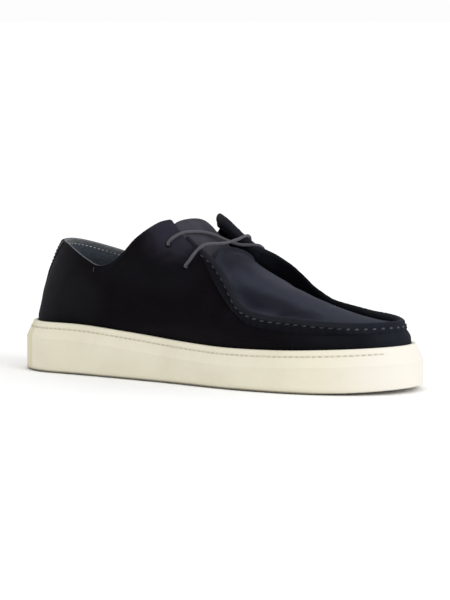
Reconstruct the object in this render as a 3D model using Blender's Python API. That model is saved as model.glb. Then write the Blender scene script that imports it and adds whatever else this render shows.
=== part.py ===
"""Right shoe of a pair: a laced moccasin-toe sneaker on a thick cup sole.

+X points to the toe, +Y to the medial side and +Z up. The origin lies on the
floor, under the middle of the outsole. Lengths in the tables are millimetres.
"""

import math
from collections import namedtuple

import bmesh
import bpy
import numpy as np

MM = 0.001

# Driving dimensions, in metres.
OUTSOLE_LENGTH = 0.300
HEEL_ROUND = 0.127
TOE_ROUND = 0.213
ROUND_POWER = 2.06
TOE_SPRING = 0.004
TOE_SPRING_START = 0.74
RIM_INSET = 0.0052
RIM_WIDTH = 0.0026
SHOULDER_DROP = 0.0105
CUP_DEPTH = 0.012
GAP = 0.0004
TREAD_DEPTH = 0.002
TREAD_BORDER = 0.009
TREAD_WIDTH = 0.0035
UPPER_WALL = 0.0022
FLAP_WALL = 0.0038
COLLAR_BACK_X = -0.1245
SEAM_TOE_X = 0.1403
TOP_EDGE_POWER = 0.90
SEAM_INSET = 0.0032
SEAM_RADIUS = 0.0028
SEAM_DEPTH = 0.0028
SEAM_START_LATERAL = 0.432
SEAM_START_MEDIAL = 0.403
PLUG_START = 0.515
PLUG_WALL = 0.0024
PLUG_END_REACH = 0.0075
PLUG_END_RISE = 0.45
TONGUE_WALL = 0.003
TONGUE_RADIUS = 0.050
TONGUE_TIP_ROUND = 0.10
INSOLE_THICKNESS = 0.0045
INSOLE_SEAT_GAP = 0.0003
LACE_RADIUS = 0.0014
EYELET_RADIUS = 0.0019

# Mesh fineness.
HALF_TURNS = 44
THROAT_SHARES = (0.355, 0.545)

# Half width of the outsole before its ends are rounded, by share of length.
OutlineRow = namedtuple("OutlineRow", "share lateral medial")
OUTLINE = (
    OutlineRow(0.00, 38.6, 38.6),
    OutlineRow(0.17, 39.2, 39.0),
    OutlineRow(0.42, 44.4, 38.4),
    OutlineRow(0.68, 53.8, 53.0),
    OutlineRow(0.74, 53.2, 53.8),
    OutlineRow(0.86, 48.6, 51.6),
    OutlineRow(1.00, 43.6, 47.0),
)

# Height of the sole's rim above the floor, toe spring included.
RimRow = namedtuple("RimRow", "share height")
RIM = (
    RimRow(0.00, 33.6),
    RimRow(0.16, 34.0),
    RimRow(0.34, 31.1),
    RimRow(0.50, 27.7),
    RimRow(0.61, 26.6),
    RimRow(0.72, 27.2),
    RimRow(0.84, 29.0),
    RimRow(1.00, 32.0),
)

# Top edge of the wrap: the collar, then the flap's free edge, then the crease
# under the raised seam. Half widths come before the rounding of the ends.
EdgeRow = namedtuple("EdgeRow", "share y_lateral y_medial z_lateral z_medial")
TOP_EDGE = (
    EdgeRow(0.000, 42.0, 42.0, 88.8, 88.8),
    EdgeRow(0.045, 43.0, 43.0, 86.9, 84.8),
    EdgeRow(0.092, 43.0, 43.0, 82.3, 80.8),
    EdgeRow(0.138, 42.8, 42.8, 77.3, 76.8),
    EdgeRow(0.177, 42.0, 42.0, 74.0, 74.0),
    EdgeRow(0.213, 40.5, 40.5, 75.2, 75.4),
    EdgeRow(0.251, 38.5, 38.5, 81.6, 81.0),
    EdgeRow(0.293, 35.6, 36.0, 93.0, 90.4),
    EdgeRow(0.330, 32.6, 33.6, 100.2, 92.4),
    EdgeRow(0.365, 29.6, 31.4, 105.0, 93.0),
    EdgeRow(0.391, 27.6, 29.8, 106.2, 94.2),
    EdgeRow(0.408, 27.5, 29.4, 101.8, 100.6),
    EdgeRow(0.422, 27.6, 29.2, 97.6, 102.8),
    EdgeRow(0.471, 28.6, 30.2, 87.2, 94.4),
    EdgeRow(0.490, 29.4, 30.8, 82.2, 89.0),
    EdgeRow(0.521, 31.2, 32.6, 70.6, 79.0),
    EdgeRow(0.575, 37.4, 37.6, 56.3, 67.6),
    EdgeRow(0.609, 42.0, 41.4, 50.2, 59.6),
    EdgeRow(0.661, 47.4, 45.4, 43.2, 50.0),
    EdgeRow(0.714, 50.8, 47.4, 40.8, 45.6),
    EdgeRow(0.795, 52.0, 47.6, 38.4, 42.2),
    EdgeRow(0.875, 49.6, 46.0, 38.0, 40.6),
    EdgeRow(0.940, 46.5, 44.5, 38.6, 40.0),
    EdgeRow(1.000, 44.0, 43.0, 40.0, 40.0),
)

# How far each section of the wrap swells outwards between feather and edge.
SwellRow = namedtuple("SwellRow", "share swell")
SWELL = (
    SwellRow(0.00, 2.8),
    SwellRow(0.12, 3.0),
    SwellRow(0.27, 4.0),
    SwellRow(0.40, 6.0),
    SwellRow(0.50, 6.0),
    SwellRow(0.60, 4.0),
    SwellRow(0.70, 2.4),
    SwellRow(0.85, 1.6),
    SwellRow(1.00, 1.2),
)

# Height of the raised seam's crest, from the flaps' corners round the toe, and
# how far under it the plug's edges lie. The plug's middle stands crown over the
# line between its edges.
SeamRow = namedtuple("SeamRow", "share z_lateral z_medial drop_lateral drop_medial crown")
SEAM = (
    SeamRow(0.395, 107.4, 108.6, 5.6, 8.0, 4.0),
    SeamRow(0.403, 105.4, 108.4, 5.6, 8.0, 4.0),
    SeamRow(0.422, 100.0, 106.4, 5.6, 8.0, 4.0),
    SeamRow(0.471, 90.0, 96.2, 5.6, 8.0, 4.0),
    SeamRow(0.515, 83.2, 87.6, 5.6, 12.4, 6.4),
    SeamRow(0.560, 73.2, 81.6, 7.0, 16.4, 9.6),
    SeamRow(0.600, 60.8, 74.2, 7.8, 15.6, 14.0),
    SeamRow(0.625, 55.2, 68.6, 8.0, 15.0, 16.6),
    SeamRow(0.661, 51.6, 60.4, 7.6, 12.4, 17.0),
    SeamRow(0.720, 49.2, 52.8, 7.0, 8.6, 14.4),
    SeamRow(0.780, 48.2, 50.2, 6.4, 7.0, 10.2),
    SeamRow(0.860, 46.4, 48.0, 5.6, 5.8, 5.6),
    SeamRow(0.930, 44.8, 46.2, 5.0, 5.0, 2.4),
    SeamRow(1.000, 44.6, 44.6, 4.6, 4.6, 0.0),
)

# Middle line of the tongue's outer face, from its hidden end to its tip, and
# its half widths along the curve of its section.
TongueRow = namedtuple("TongueRow", "reach x y z lateral medial")
TONGUE = (
    TongueRow(0.00, 33.0, 0.0, 65.0, 15.0, 15.0),
    TongueRow(0.25, 20.0, 0.0, 72.4, 18.0, 18.0),
    TongueRow(0.50, 7.0, 0.0, 80.6, 20.5, 22.0),
    TongueRow(0.72, -3.6, -2.0, 93.0, 19.0, 26.0),
    TongueRow(0.90, -12.0, -4.0, 103.0, 16.4, 31.0),
    TongueRow(1.00, -15.4, -5.0, 107.0, 15.2, 32.0),
)

# Eyelets by share of length and share of the wrap's height above the rim.
EyeletRow = namedtuple("EyeletRow", "share height")
EYELETS = (
    EyeletRow(0.402, 0.805),
    EyeletRow(0.460, 0.790),
)

# Middle line of the lace's two strands, from the lateral to the medial side.
StrandRow = namedtuple("StrandRow", "reach x y z")
UPPER_STRAND = (
    StrandRow(0.000, -18.5, -36.5, 92.0),
    StrandRow(0.125, -13.6, -34.0, 95.4),
    StrandRow(0.250, -6.5, -27.5, 97.6),
    StrandRow(0.375, 2.0, -15.0, 95.2),
    StrandRow(0.500, 9.5, 1.0, 89.6),
    StrandRow(0.625, 13.0, 18.0, 88.6),
    StrandRow(0.750, 14.0, 30.0, 89.8),
    StrandRow(0.875, 12.0, 38.0, 87.6),
    StrandRow(1.000, 2.0, 40.0, 82.5),
)
LOWER_STRAND = (
    StrandRow(0.000, -3.0, -38.5, 78.6),
    StrandRow(0.125, 2.8, -35.5, 84.6),
    StrandRow(0.250, 7.8, -28.0, 88.4),
    StrandRow(0.375, 9.4, -12.0, 89.6),
    StrandRow(0.500, 9.5, 1.0, 89.6),
    StrandRow(0.625, 7.5, 16.0, 93.0),
    StrandRow(0.750, 4.0, 28.0, 95.6),
    StrandRow(0.875, -3.0, 35.0, 96.4),
    StrandRow(1.000, -15.0, 37.0, 92.5),
)

# Colours, roughness and metallic of each piece.
Finish = namedtuple("Finish", "red green blue roughness metallic")
FINISHES = {
    "cup_sole": Finish(0.86, 0.80, 0.64, 0.55, 0.0),
    "insole": Finish(0.11, 0.13, 0.16, 0.85, 0.0),
    "upper": Finish(0.012, 0.014, 0.030, 0.95, 0.0),
    "tongue": Finish(0.016, 0.018, 0.034, 0.95, 0.0),
    "lace": Finish(0.055, 0.058, 0.065, 0.80, 0.0),
}


def column(table, name):
    return np.array([getattr(row, name) for row in table])


def smooth(table, key, name, at):
    """Monotone cubic through one named column of a table."""
    xs = column(table, key)
    ys = column(table, name)
    step = np.diff(xs)
    slope = np.diff(ys) / step
    tangent = np.zeros(len(xs))
    same_way = slope[:-1] * slope[1:] > 0
    total = np.where(same_way, slope[:-1] + slope[1:], 1.0)
    tangent[1:-1] = np.where(same_way, 2 * slope[:-1] * slope[1:] / total, 0.0)
    tangent[0] = slope[0]
    tangent[-1] = slope[-1]
    at = np.clip(at, xs[0], xs[-1])
    i = np.clip(np.searchsorted(xs, at) - 1, 0, len(xs) - 2)
    t = (at - xs[i]) / step[i]
    start = (1 + 2 * t) * (1 - t) ** 2 * ys[i] + t * (1 - t) ** 2 * step[i] * tangent[i]
    end = t * t * (3 - 2 * t) * ys[i + 1] - t * t * (1 - t) * step[i] * tangent[i + 1]
    return start + end


def turns():
    """Stations once round the shoe: heel, lateral side, toe, medial side."""
    even = np.linspace(0.0, math.pi, HALF_TURNS + 1)
    middle = (even[:-1] + even[1:]) / 2
    share = (1 - np.cos(middle)) / 2
    low, high = THROAT_SHARES
    half = np.sort(np.concatenate([even, middle[(share > low) & (share < high)]]))
    return np.concatenate([half, 2 * math.pi - half[-2:0:-1]])


TURNS = turns()
COUNT = len(TURNS)
SHARES = (1 - np.cos(TURNS)) / 2


def two_sided(turn, lateral, medial):
    return np.where(np.sin(turn) >= 0, lateral, medial)


def rounded_end(share, reach):
    """Closing of one end, as a share of the full width."""
    inner = np.clip(1 - share / reach, 0, 1)
    return (1 - inner**ROUND_POWER) ** (1 / ROUND_POWER)


def outline(turn):
    share = (1 - np.cos(turn)) / 2
    lateral = smooth(OUTLINE, "share", "lateral", share)
    medial = smooth(OUTLINE, "share", "medial", share)
    half = two_sided(turn, lateral, medial) * MM
    closing = rounded_end(share, HEEL_ROUND) * rounded_end(1 - share, TOE_ROUND)
    x = (share - 0.5) * OUTSOLE_LENGTH
    y = -np.sign(np.sin(turn)) * closing * half
    return np.stack([x, y], axis=1)


def inward(turn):
    """Unit vector in plan from the outline towards the middle of the shoe."""
    nudge = 0.01
    along = outline(turn + nudge) - outline(turn - nudge)
    along /= np.linalg.norm(along, axis=1)[:, None]
    return np.stack([-along[:, 1], along[:, 0]], axis=1)


def spring(x):
    share = x / OUTSOLE_LENGTH + 0.5
    rise = np.clip((share - TOE_SPRING_START) / (1 - TOE_SPRING_START), 0, 1)
    return TOE_SPRING * rise**2


def rim_height(x):
    return smooth(RIM, "share", "height", x / OUTSOLE_LENGTH + 0.5) * MM


def ring(inset, height):
    """Closed ring at an inset from the outline; height is a function of x."""
    plan = outline(TURNS) + inward(TURNS) * inset
    return np.column_stack([plan, height(plan[:, 0])])


def add_rings(mesh, rings):
    """Skin consecutive rings with quads and return their vertices."""
    verts = [[mesh.verts.new(point) for point in points] for points in rings]
    for low, high in zip(verts[:-1], verts[1:]):
        for i in range(len(low)):
            j = (i + 1) % len(low)
            mesh.faces.new((low[i], low[j], high[j], high[i]))
    return verts


def ladder(mesh, verts):
    """Close a ring with rungs from the lateral to the medial side."""
    count = len(verts)
    toe = count // 2
    mesh.faces.new((verts[0], verts[1], verts[-1]))
    for i in range(1, toe - 1):
        mesh.faces.new((verts[i], verts[i + 1], verts[count - i - 1], verts[count - i]))
    mesh.faces.new((verts[toe - 1], verts[toe], verts[toe + 1]))


def new_object(name, mesh):
    bmesh.ops.recalc_face_normals(mesh, faces=mesh.faces)
    data = bpy.data.meshes.new(name)
    mesh.to_mesh(data)
    mesh.free()
    thing = bpy.data.objects.new(name, data)
    bpy.context.scene.collection.objects.link(thing)
    return thing


def give_finish(thing):
    finish = FINISHES[thing.name]
    material = bpy.data.materials.new(thing.name)
    material.use_nodes = True
    shader = material.node_tree.nodes["Principled BSDF"]
    shader.inputs["Base Color"].default_value = (finish.red, finish.green, finish.blue, 1.0)
    shader.inputs["Roughness"].default_value = finish.roughness
    shader.inputs["Metallic"].default_value = finish.metallic
    thing.data.materials.clear()
    thing.data.materials.append(material)
    thing.data.shade_smooth()
    thing.data.set_sharp_from_angle(angle=math.radians(40))


def combine(thing, other, operation):
    """Add or cut a helper solid and remove it afterwards."""
    cut = thing.modifiers.new(operation.title(), "BOOLEAN")
    cut.operation = operation
    cut.solver = "EXACT"
    cut.object = other
    graph = bpy.context.evaluated_depsgraph_get()
    result = bpy.data.meshes.new_from_object(thing.evaluated_get(graph))
    thing.modifiers.clear()
    old = thing.data
    thing.data = result
    result.name = thing.name
    bpy.data.meshes.remove(old)
    bpy.data.objects.remove(other)


# The cup sole: a tray whose rim holds the upper, with a grooved underside.

def tread_grooves():
    """Cross grooves under heel and forefoot that leave the main lugs."""
    mesh = bmesh.new()
    for first, last, pitch in ((0.06, 0.27, 0.034), (0.49, 0.92, 0.034)):
        for share in np.arange(first, last, pitch):
            turn = math.acos(1 - 2 * share)
            sides = outline(np.array([turn, 2 * math.pi - turn]))
            x = float(sides[0, 0])
            low = float(sides[0, 1]) + TREAD_BORDER
            high = float(sides[1, 1]) - TREAD_BORDER
            made = bmesh.ops.create_cube(mesh, size=1.0)["verts"]
            for vert in made:
                vert.co.x = x + vert.co.x * TREAD_WIDTH
                vert.co.y = (low + high) / 2 + vert.co.y * (high - low)
                vert.co.z = vert.co.z * 2 * TREAD_DEPTH + float(spring(np.array(x)))
    return new_object("tread_grooves", mesh)


def cup_sole():
    def above_floor(lift):
        return lambda x: spring(x) + lift

    def below_rim(drop):
        return lambda x: rim_height(x) - drop

    inner = RIM_INSET + RIM_WIDTH
    rings = (
        ring(0.0016, above_floor(0.0)),
        ring(0.0004, above_floor(0.0005)),
        ring(0.0, above_floor(0.0018)),
        ring(0.0, below_rim(SHOULDER_DROP)),
        ring(0.0010, below_rim(SHOULDER_DROP * 0.80)),
        ring(RIM_INSET - 0.0007, below_rim(0.0010)),
        ring(RIM_INSET, below_rim(0.0)),
        ring(inner, below_rim(0.0)),
        ring(inner, below_rim(CUP_DEPTH)),
    )
    mesh = bmesh.new()
    verts = add_rings(mesh, rings)
    ladder(mesh, verts[0])
    ladder(mesh, verts[-1])
    sole = new_object("cup_sole", mesh)
    combine(sole, tread_grooves(), "DIFFERENCE")
    return sole


# The upper: wrap, plug and raised seam, sewn into one hollow solid.

def top_edge(turn):
    share = (1 - np.cos(turn)) / 2
    wide = two_sided(
        turn,
        smooth(TOP_EDGE, "share", "y_lateral", share),
        smooth(TOP_EDGE, "share", "y_medial", share),
    )
    high = two_sided(
        turn,
        smooth(TOP_EDGE, "share", "z_lateral", share),
        smooth(TOP_EDGE, "share", "z_medial", share),
    )
    x = COLLAR_BACK_X + share * (SEAM_TOE_X - COLLAR_BACK_X)
    y = -np.sign(np.sin(turn)) * np.abs(np.sin(turn)) ** TOP_EDGE_POWER * wide * MM
    return np.column_stack([x, y, high * MM])


def feather(turn):
    """Where the wrap's outer face leaves the rim of the cup."""
    plan = outline(turn) + inward(turn) * (RIM_INSET + RIM_WIDTH + GAP)
    return np.column_stack([plan, rim_height(plan[:, 0])])


def wrap_point(turn, height):
    """Outer face of the wrap at a share of its height above the rim."""
    share = (1 - np.cos(turn)) / 2
    low = feather(turn)
    high = top_edge(turn)
    swell = smooth(SWELL, "share", "swell", share) * MM
    out = np.column_stack([-inward(turn), np.zeros(len(turn))])
    bow = (4 * height * (1 - height) * swell)[:, None]
    return low + (high - low) * np.asarray(height)[..., None] + out * bow


def wrap_normal(turn, height):
    nudge = 0.004
    level = np.full(len(turn), height)
    along = wrap_point(turn + nudge, level) - wrap_point(turn - nudge, level)
    climb = wrap_point(turn, level + nudge) - wrap_point(turn, level - nudge)
    normal = np.cross(along, climb)
    return normal / np.linalg.norm(normal, axis=1)[:, None]


def wrap_wall(height):
    """Thickness of the wrap, padded towards the free edges of the flaps."""
    flap = np.clip((SHARES - 0.27) / 0.09, 0, 1) * np.clip((0.56 - SHARES) / 0.05, 0, 1)
    return UPPER_WALL + (FLAP_WALL - UPPER_WALL) * flap * height**2


def wrap():
    seat = feather(TURNS)
    seat[:, 2] -= CUP_DEPTH - INSOLE_SEAT_GAP
    outer = [seat]
    inner = []
    levels = (0.0, 0.14, 0.30, 0.46, 0.62, 0.77, 0.90, 1.0)
    for height in levels:
        face = wrap_point(TURNS, np.full(COUNT, height))
        normal = wrap_normal(TURNS, height)
        if height == 0.0:
            normal[:, 2] = 0.0
            normal /= np.linalg.norm(normal, axis=1)[:, None]
            inner.append(seat - normal * UPPER_WALL)
        outer.append(face)
        inner.append(face - normal * wrap_wall(height)[:, None])
    crown = (outer[-1] + inner[-1]) / 2 + (outer[-1] - outer[-2]) * 0.08
    mesh = bmesh.new()
    add_rings(mesh, outer + [crown] + inner[::-1] + [outer[0]])
    bmesh.ops.remove_doubles(mesh, verts=mesh.verts, dist=0.00001)
    return new_object("upper", mesh)


def seam_turns():
    """Stations of the raised seam, lateral throat round the toe to medial."""
    start = math.acos(1 - 2 * SEAM_START_LATERAL)
    end = 2 * math.pi - math.acos(1 - 2 * SEAM_START_MEDIAL)
    between = TURNS[(TURNS > start + 0.01) & (TURNS < end - 0.01)]
    return np.concatenate([[start], between, [end]])


def seam_side(turn, offset):
    """Plan point of the wrap's edge moved towards the plug."""
    nudge = 0.01
    along = (top_edge(turn + nudge) - top_edge(turn - nudge))[:, :2]
    along /= np.linalg.norm(along, axis=1)[:, None]
    edge = top_edge(turn)
    return edge[:, :2] + np.column_stack([-along[:, 1], along[:, 0]]) * offset


def crest_height(turn):
    share = (1 - np.cos(turn)) / 2
    lateral = smooth(SEAM, "share", "z_lateral", share)
    medial = smooth(SEAM, "share", "z_medial", share)
    return two_sided(turn, lateral, medial) * MM


def raised_seam():
    """The standing roll where wrap and plug are sewn edge to edge."""
    turn = seam_turns()
    base = top_edge(turn)
    crest_line = crest_height(turn) - SEAM_RADIUS
    foot_line = np.minimum(base[:, 2] - 0.0006, crest_line - SEAM_DEPTH)
    foot = np.column_stack([seam_side(turn, SEAM_INSET / 2), foot_line])
    crest = np.column_stack([seam_side(turn, SEAM_INSET), crest_line])
    mesh = bmesh.new()
    loops = []
    for i in range(len(turn)):
        across = np.append(seam_side(turn[i:i + 1], 1.0)[0] - base[i, :2], 0.0)
        fade = 0.55 if i in (0, len(turn) - 1) else 1.0
        rise = crest[i] - foot[i]
        rise /= np.linalg.norm(rise)
        loop = []
        for angle in np.linspace(0, math.pi, 6):
            arm = across * math.cos(angle) + rise * math.sin(angle)
            loop.append(crest[i] + arm * SEAM_RADIUS * fade)
        for angle in np.linspace(0, math.pi, 5):
            arm = -across * math.cos(angle) - rise * math.sin(angle)
            loop.append(foot[i] + arm * (SEAM_RADIUS * 0.8) * fade)
        loops.append([mesh.verts.new(point) for point in loop])
    for low, high in zip(loops[:-1], loops[1:]):
        for i in range(len(low)):
            j = (i + 1) % len(low)
            mesh.faces.new((low[i], low[j], high[j], high[i]))
    mesh.faces.new(loops[0])
    mesh.faces.new(loops[-1])
    return new_object("raised_seam", mesh)


def plug_point(share, across):
    """Outer face of the plug; across runs from 0 lateral to 1 medial."""
    turn = np.arccos(1 - 2 * share)
    near = seam_side(turn, SEAM_INSET)
    far = seam_side(2 * math.pi - turn, SEAM_INSET)
    low = crest_height(turn) - smooth(SEAM, "share", "drop_lateral", share) * MM
    high = crest_height(2 * math.pi - turn) - smooth(SEAM, "share", "drop_medial", share) * MM
    bow = 1 - (2 * across - 1) ** 2
    crown = smooth(SEAM, "share", "crown", share) * MM * bow
    reach = PLUG_END_REACH * np.clip(1 - (share - PLUG_START) / 0.08, 0, 1) * bow
    x = near[:, 0] * (1 - across) + far[:, 0] * across - reach
    y = near[:, 1] * (1 - across) + far[:, 1] * across
    z = low * (1 - across) + high * across + crown + reach * PLUG_END_RISE
    return np.column_stack([x, y, z])


def plug():
    """The panel that closes the forefoot inside the raised seam."""
    turn = np.linspace(math.acos(1 - 2 * PLUG_START), math.pi, 27)[:-1]
    shares = (1 - np.cos(turn)) / 2
    across = np.linspace(0.0, 1.0, 11)
    nudge = 0.002
    top = []
    under = []
    for share in shares:
        line = np.full(len(across), share)
        face = plug_point(line, across)
        step_on = plug_point(np.minimum(line + nudge, 0.9995), across)
        step_back = plug_point(line - nudge, across)
        side = plug_point(line, across + nudge) - plug_point(line, across - nudge)
        normal = np.cross(step_on - step_back, side)
        normal /= np.linalg.norm(normal, axis=1)[:, None]
        top.append(face)
        under.append(face - normal * PLUG_WALL)
    mesh = bmesh.new()
    upper_verts = [[mesh.verts.new(point) for point in row] for row in top]
    lower_verts = [[mesh.verts.new(point) for point in row] for row in under]
    for rows in (upper_verts, lower_verts):
        for low, high in zip(rows[:-1], rows[1:]):
            for i in range(len(low) - 1):
                mesh.faces.new((low[i], low[i + 1], high[i + 1], high[i]))
    last = len(shares) - 1
    for i in range(len(across) - 1):
        for row in (0, last):
            mesh.faces.new(
                (upper_verts[row][i], upper_verts[row][i + 1], lower_verts[row][i + 1], lower_verts[row][i])
            )
    for row in range(last):
        for side in (0, -1):
            mesh.faces.new(
                (
                    upper_verts[row][side],
                    upper_verts[row + 1][side],
                    lower_verts[row + 1][side],
                    lower_verts[row][side],
                )
            )
    return new_object("plug", mesh)


def eyelet_place(row, side):
    """Centre and outward normal of one eyelet on the wrap's outer face."""
    turn = math.acos(1 - 2 * row.share)
    turn = np.array([turn if side < 0 else 2 * math.pi - turn])
    place = wrap_point(turn, np.array([row.height]))[0]
    return place, wrap_normal(turn, row.height)[0]


def eyelet_punch():
    """Four punched holes, two in each flap."""
    mesh = bmesh.new()
    for row in EYELETS:
        for side in (-1, 1):
            place, normal = eyelet_place(row, side)
            first = np.cross(normal, (0.0, 0.0, 1.0))
            first /= np.linalg.norm(first)
            second = np.cross(normal, first)
            ends = []
            for depth in (-0.009, 0.004):
                loop = []
                for angle in np.linspace(0, 2 * math.pi, 10, endpoint=False):
                    arm = first * math.cos(angle) + second * math.sin(angle)
                    loop.append(mesh.verts.new(place + normal * depth + arm * EYELET_RADIUS))
                ends.append(loop)
            for i in range(10):
                j = (i + 1) % 10
                mesh.faces.new((ends[0][i], ends[0][j], ends[1][j], ends[1][i]))
            mesh.faces.new(ends[0])
            mesh.faces.new(ends[1])
    return new_object("eyelet_punch", mesh)


def upper():
    shell = wrap()
    combine(shell, plug(), "UNION")
    combine(shell, raised_seam(), "UNION")
    combine(shell, eyelet_punch(), "DIFFERENCE")
    return shell


# Tongue, insole and lace.

def tongue_point(reach, across, depth):
    """Point of the tongue; across runs from -1 lateral to 1 medial."""
    x = smooth(TONGUE, "reach", "x", reach) * MM
    y = smooth(TONGUE, "reach", "y", reach) * MM
    z = smooth(TONGUE, "reach", "z", reach) * MM
    lateral = smooth(TONGUE, "reach", "lateral", reach) * MM
    medial = smooth(TONGUE, "reach", "medial", reach) * MM
    half = np.where(across < 0, lateral, medial)
    nudge = 0.02
    dx = smooth(TONGUE, "reach", "x", reach + nudge) - smooth(TONGUE, "reach", "x", reach - nudge)
    dz = smooth(TONGUE, "reach", "z", reach + nudge) - smooth(TONGUE, "reach", "z", reach - nudge)
    size = np.hypot(dx, dz)
    up_x = dz / size
    up_z = -dx / size
    angle = across * half / TONGUE_RADIUS
    radius = TONGUE_RADIUS - depth
    fall = TONGUE_RADIUS - radius * np.cos(angle)
    return np.column_stack([x - up_x * fall, y + radius * np.sin(angle), z - up_z * fall])


def tongue():
    reaches = np.linspace(0.0, 1.0, 13)
    across = np.linspace(-1.0, 1.0, 11)
    mesh = bmesh.new()
    loops = []
    for reach in reaches:
        line = reach * (1 - TONGUE_TIP_ROUND * reach**2 * np.clip(across, 0, 1) ** 3)
        face = tongue_point(line, across, 0.0)
        back = tongue_point(line, across, TONGUE_WALL)
        loops.append([mesh.verts.new(point) for point in np.concatenate([face, back[::-1]])])
    for low, high in zip(loops[:-1], loops[1:]):
        for i in range(len(low)):
            j = (i + 1) % len(low)
            mesh.faces.new((low[i], low[j], high[j], high[i]))
    for loop in (loops[0], loops[-1]):
        count = len(loop)
        for i in range(len(across) - 1):
            mesh.faces.new((loop[i], loop[i + 1], loop[count - i - 2], loop[count - i - 1]))
    return new_object("tongue", mesh)


def insole():
    inset = RIM_INSET + RIM_WIDTH + GAP + UPPER_WALL + GAP

    def lift(amount):
        return lambda x: rim_height(x) - CUP_DEPTH + amount

    rings = (
        ring(inset + 0.0004, lift(INSOLE_SEAT_GAP)),
        ring(inset + 0.0004, lift(INSOLE_SEAT_GAP + INSOLE_THICKNESS * 0.8)),
        ring(inset + 0.0016, lift(INSOLE_SEAT_GAP + INSOLE_THICKNESS)),
    )
    mesh = bmesh.new()
    verts = add_rings(mesh, rings)
    ladder(mesh, verts[0])
    ladder(mesh, verts[-1])
    return new_object("insole", mesh)


def strand(name, table):
    """A round strand through the rows of a short table."""
    at = np.linspace(0, 1, 3 * (len(table) - 1) + 1)
    points = np.column_stack([smooth(table, "reach", axis, at) * MM for axis in "xyz"])
    mesh = bmesh.new()
    loops = []
    for i, point in enumerate(points):
        along = points[min(i + 1, len(points) - 1)] - points[max(i - 1, 0)]
        along /= np.linalg.norm(along)
        first = np.cross(along, (1.0, 0.0, 0.0))
        first /= np.linalg.norm(first)
        second = np.cross(along, first)
        loop = []
        for angle in np.linspace(0, 2 * math.pi, 8, endpoint=False):
            arm = first * math.cos(angle) + second * math.sin(angle)
            loop.append(mesh.verts.new(point + arm * LACE_RADIUS))
        loops.append(loop)
    for low, high in zip(loops[:-1], loops[1:]):
        for i in range(8):
            j = (i + 1) % 8
            mesh.faces.new((low[i], low[j], high[j], high[i]))
    mesh.faces.new(loops[0])
    mesh.faces.new(loops[-1])
    return new_object(name, mesh)


def lace():
    """Two strands joined where they cross over the tongue."""
    whole = strand("lace", UPPER_STRAND)
    combine(whole, strand("lower_strand", LOWER_STRAND), "UNION")
    return whole


def main():
    for old in list(bpy.data.objects):
        bpy.data.objects.remove(old)
    for piece in (cup_sole, upper, tongue, insole, lace):
        give_finish(piece())


main()
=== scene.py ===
"""Right shoe of a pair: a laced moccasin-toe sneaker in dark suede on a cream cup sole.

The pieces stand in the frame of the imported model: +X points to the toe, +Y to
the medial side and +Z up. Constants are in metres, some of them written as
millimetres times MM. The tables, the constants beside them that say so, and the
heights and widths given to ridge and shore are in millimetres.
"""

import math
from collections import namedtuple

import bmesh
import bpy
import numpy as np
from mathutils import Matrix, Vector


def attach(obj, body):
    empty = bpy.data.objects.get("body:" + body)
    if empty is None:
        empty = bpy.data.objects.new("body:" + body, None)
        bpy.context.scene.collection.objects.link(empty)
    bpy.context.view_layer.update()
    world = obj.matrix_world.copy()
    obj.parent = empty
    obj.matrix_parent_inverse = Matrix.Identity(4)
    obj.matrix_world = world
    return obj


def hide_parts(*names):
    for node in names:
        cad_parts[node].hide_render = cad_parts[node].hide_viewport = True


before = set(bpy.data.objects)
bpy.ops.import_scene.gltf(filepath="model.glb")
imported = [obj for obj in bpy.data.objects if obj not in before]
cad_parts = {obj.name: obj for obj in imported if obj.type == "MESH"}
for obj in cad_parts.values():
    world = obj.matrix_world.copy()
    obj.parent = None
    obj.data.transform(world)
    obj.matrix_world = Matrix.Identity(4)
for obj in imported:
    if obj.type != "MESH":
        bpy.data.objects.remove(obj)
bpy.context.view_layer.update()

MM = 0.001
TAU = 2 * math.pi

# ---------------------------------------------------------------------------
# The shoe's own shape, as in the model.

OUTSOLE_LENGTH = 0.300
HEEL_ROUND = 0.127
TOE_ROUND = 0.213
ROUND_POWER = 2.06
TOE_SPRING = 0.0034
TOE_SPRING_START = 0.74
RIM_INSET = 0.0052
RIM_WIDTH = 0.0026
CUP_DEPTH = 0.012
GAP = 0.0004
UPPER_WALL = 0.0022
FLAP_WALL = 0.0038
FLAP_THICKENS = (0.27, 0.36)
FLAP_THINS = (0.56, 0.51)
COLLAR_BACK_X = -0.1245
COLLAR_LOW_SHARE = 0.172
SEAM_TOE_X = 0.1403
TOP_EDGE_POWER = 0.90
HEEL_FULLNESS = 0.5 * MM
TOE_FULLNESS = 0.7 * MM
SEAM_INSET = 0.0032
SEAM_START_LATERAL = 0.432
SEAM_START_MEDIAL = 0.403
PLUG_START = 0.515
PLUG_END_SHARE = 0.08
PLUG_WALL = 0.0028
PLUG_END_REACH = 0.0075
PLUG_END_RISE = 0.0054
TONGUE_WALL = 0.003
TONGUE_RADIUS = 0.064
TONGUE_LENGTH = 0.070
TONGUE_HALF_WIDTH = 0.022
TONGUE_TIP_ROUND = 0.10
TONGUE_CORNER_ROUND = 0.022
INSOLE_THICKNESS = 0.0045
INSOLE_PAD = 0.0036
INSOLE_CLEARANCE = 0.0005
LINING_WALL = 0.0007
LACE_RADIUS = 0.00108


def rows(fields, *values):
    """A table of named numbers, one row for each group of values."""
    row = namedtuple("Row", fields)
    return [row(*value) for value in values]


# Half widths of the outsole on each side, from heel (0) to toe (1).
OUTLINE = rows(
    "share lateral medial",
    (0.00, 38.6, 38.6), (0.17, 39.2, 39.0), (0.42, 44.4, 38.4), (0.68, 53.8, 53.0), (0.74, 53.2, 53.8),
    (0.86, 48.6, 51.6), (1.00, 43.6, 47.0),
)

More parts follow.
